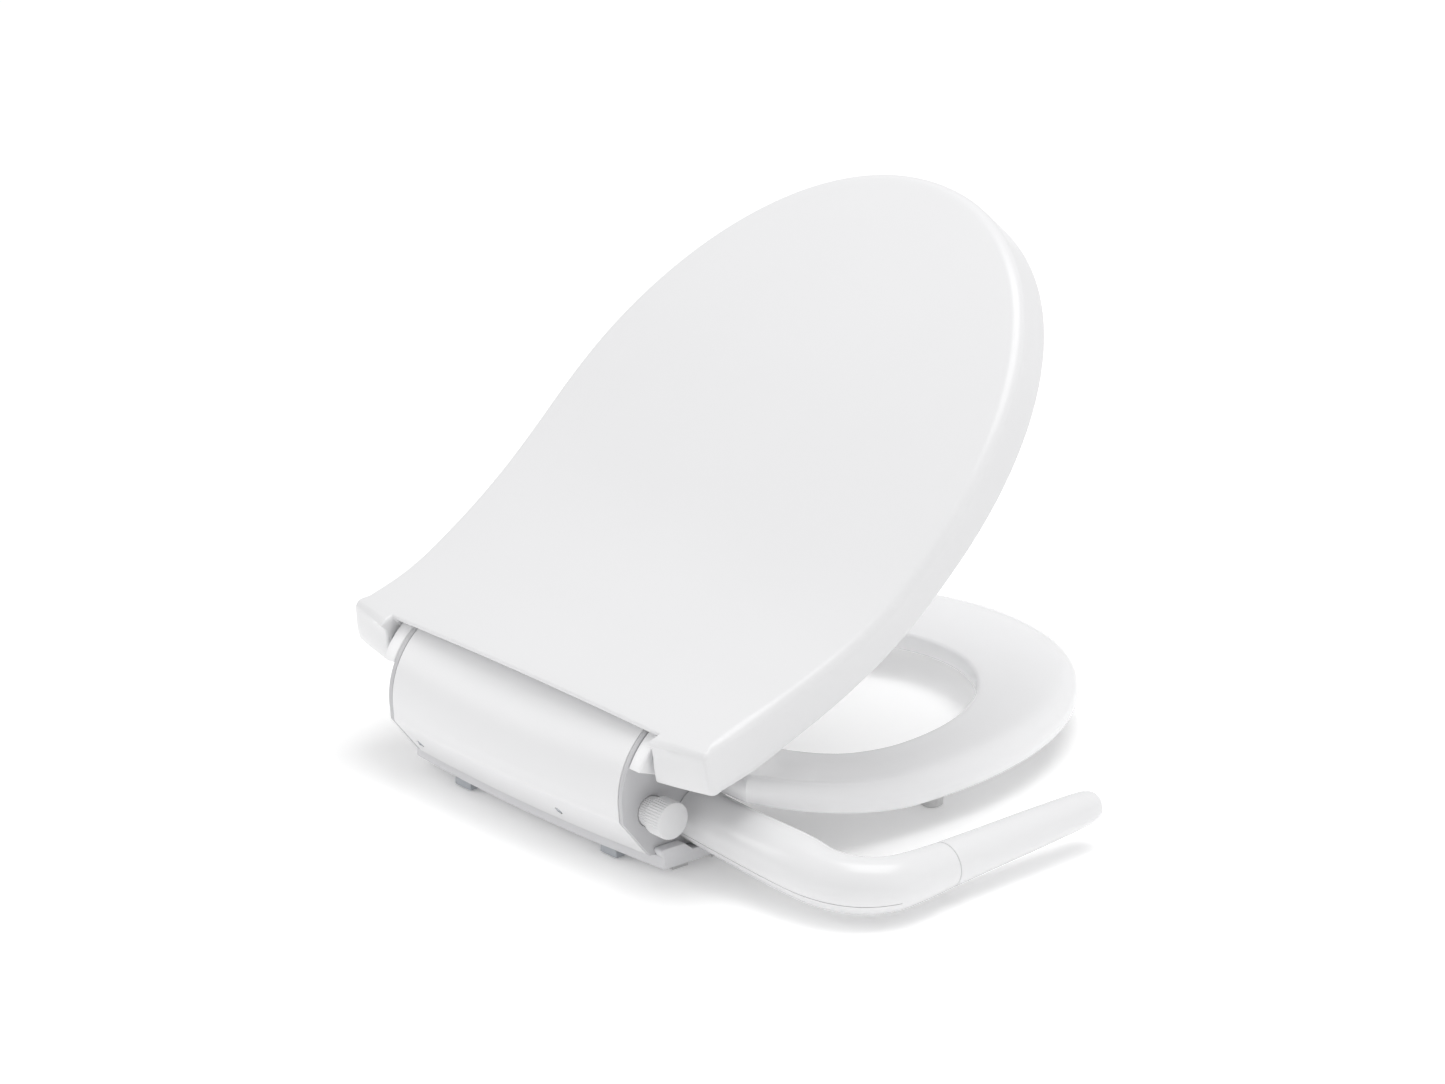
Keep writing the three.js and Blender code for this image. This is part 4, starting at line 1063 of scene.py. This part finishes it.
# centre line and radius from the housing round the elbow to the grip
armKnots = [
    (108.5, 22.5, 32.4, 17.4), (150, 23, 29.6, 17.8), (198, 24.5, 27, 18.9), (224, 27, 24.6, 17.8),
    (243, 36, 23.7, 17.4), (252.5, 52, 23.2, 16.7), (253, 72, 22.6, 15.6), (250.8, 96.7, 22, 14.3)]


def armAt(t):
    found = through(armKnots, t)
    step = 0.002
    ahead = through(armKnots, min(1, t + step)) - through(armKnots, max(0, t - step))
    return Vector(found[:3]), float(found[3]), Vector(ahead[:3]).normalized()


def armTube(scale, sides, extend=0.0):
    rings = []
    for i in range(arm["steps"] + 1):
        centre, radius, along = armAt(i / arm["steps"])
        side = along.cross(Vector((0, 0, 1))).normalized()
        over = side.cross(along).normalized()
        if extend and i in (0, arm["steps"]):
            centre = centre + along * (extend if i else -extend)
        turns = [2 * math.pi * j / sides for j in range(sides)]
        rings.append([centre + (side * math.cos(a) + over * math.sin(a)) * radius * scale for a in turns])
    return loft(rings)


def armCutter(drop):
    # a wide block below the seam, along the stretch that the lower cover has
    rings = []
    for i in range(61):
        t = i / 60 * arm["coverEnd"]
        centre, radius, along = armAt(t)
        low = centre.z - radius * arm["seam"] + drop
        across = Vector((along.y, -along.x, 0)).normalized() * 30
        a = centre - across
        b = centre + across
        rings.append([(a.x, a.y, low), (b.x, b.y, low), (b.x, b.y, low - 40), (a.x, a.y, low - 40)])
    return meshPiece("tool", *loft(rings), "glossAbsArm")


def makeArm():
    halfGap = arm["gap"] / 2
    halves = (("armUpperShell", "DIFFERENCE", halfGap, "arm_upper_shell"),
              ("armLowerCover", "INTERSECT", -halfGap, "arm_lower_cover"))
    for name, operation, drop, node in halves:
        tube = meshPiece(name, *armTube(1, arm["sides"]), "glossAbsArm")
        combine(tube, meshPiece("tool", *armTube(arm["bore"], 32, 4.0), "glossAbsArm"), "DIFFERENCE")
        # the tube starts inside the housing, and is cut off just outside the end cap
        combine(tube, boxTool((arm["startX"] - 30, -30, -30), (arm["startX"], 90, 90)), "DIFFERENCE")
        combine(tube, armCutter(drop), operation)
        finishPiece(smoothed(tube), "housing", "arm", node)


def makeGrip():
    start = Vector(arm["gripStart"])
    axis = Vector(arm["gripEnd"]) - start
    length = axis.length
    matrix = towards(start, axis.normalized())
    # radius and distance along the grip, from its collar to its tip
    knots = [(13.3, 0.6), (14.0, 1.0), (14.2, 2.4), (13.9, 14), (13.4, 30), (12.9, 50), (12.4, 70),
             (11.8, 88), (11.2, 105), (10.7, length - 14), (9.9, length - 7), (8.2, length - 3),
             (5.6, length - 0.9), (2.8, length - 0.2), (0.3, length)]
    bore = arm["gripBore"]
    profile = [(bore, arm["gripBoreDepth"]), (bore, 20), (bore, 0.6)]
    profile += [tuple(through(knots, k / 90)) for k in range(91)]
    grip = meshPiece("controlGrip", *turned(profile, 72, matrix), "glossAbsArm")
    finishPiece(grip, "grip", "arm", "control_grip")


# knob and inlet
knob = {
    "y": -14.5, "z": 43.5, "radius": 12.0, "face": 133.5, "length": 14.0,
    "neckRadius": 9.6, "flutes": 40, "groove": 0.55, "neckGroove": 0.35,
}
inlet = {
    "y": -14, "z": 27, "radius": 4.8, "cap": 6.4, "end": -121, "capEnd": -114, "inner": -101.5,
}


def makeKnob():
    k = knob
    start = housing["halfWidth"] - 6
    back = k["face"] - k["length"]
    parts = (("knobCap", "knob_cap", back, k["face"], k["radius"], 1.5, k["groove"]),
             ("knobNeck", "knob_neck", start, back - housing["gap"], k["neckRadius"], 0.5, k["neckGroove"]))
    for name, node, inner, outer, radius, edge, groove in parts:
        middle = ((inner + outer) / 2, k["y"], k["z"])
        part = puckPiece(name, [middle], outer - inner, radius, radius, edge, "satinAbsKnob",
                         k["flutes"] * 8, k["flutes"], groove, math.pi / 2)
        finishPiece(part, "knob", "knob", node)


def makeInlet():
    i = inlet
    parts = []
    shapes = (("inletCap", i["end"], i["capEnd"], i["cap"], 0.8, 192, 24, 0.35),
              ("inletNeck", i["capEnd"] - 1, i["inner"], i["radius"], 0.5, 64, 0, 0))
    for name, start, end, radius, edge, sides, flutes, groove in shapes:
        middle = ((start + end) / 2, i["y"], i["z"])
        parts.append(puckPiece(name, [middle], end - start, radius, radius, edge, "satinAbsKnob",
                               sides, flutes, groove, math.pi / 2))
    finishPiece(joinPieces("inletFitting", parts), "housing", "knob", "inlet_fitting")


makeRearCover()
makeEndCaps()
makeFrontCover()
makeBasePlate()
makeScrews()
makePads()
makeBolts()
print("housing made")
makeLid()
print("lid made")
makeSeat()
print("seat made")
makeArm()
makeGrip()
makeKnob()
makeInlet()
print("arm, grip and knob made")

# finishes of the CAD pieces that stay
finishes = {
    "bolt_clamp": "zincPlatedSteel", "hinge_pin": "zincPlatedSteel", "chassis": "greyAcetalInner",
    "valve": "greyAcetalInner", "nozzle_cradle": "greyAcetalInner", "soft_close": "greyAcetalInner",
    "grip_spindle": "greyAcetalInner", "knob_spindle": "machinedBrass", "hose": "milkyPolyethyleneTube",
    "wash_nozzle": "greyAcetalInner", "wash_tip": "glossAbsHousing",
}
for nodeName, item in nodes.items():
    if item.hide_render:
        continue
    chosen = [finish for key, finish in finishes.items() if key in nodeName]
    item.data.materials.clear()
    item.data.materials.append(materials[chosen[0]])
print("finishes given")
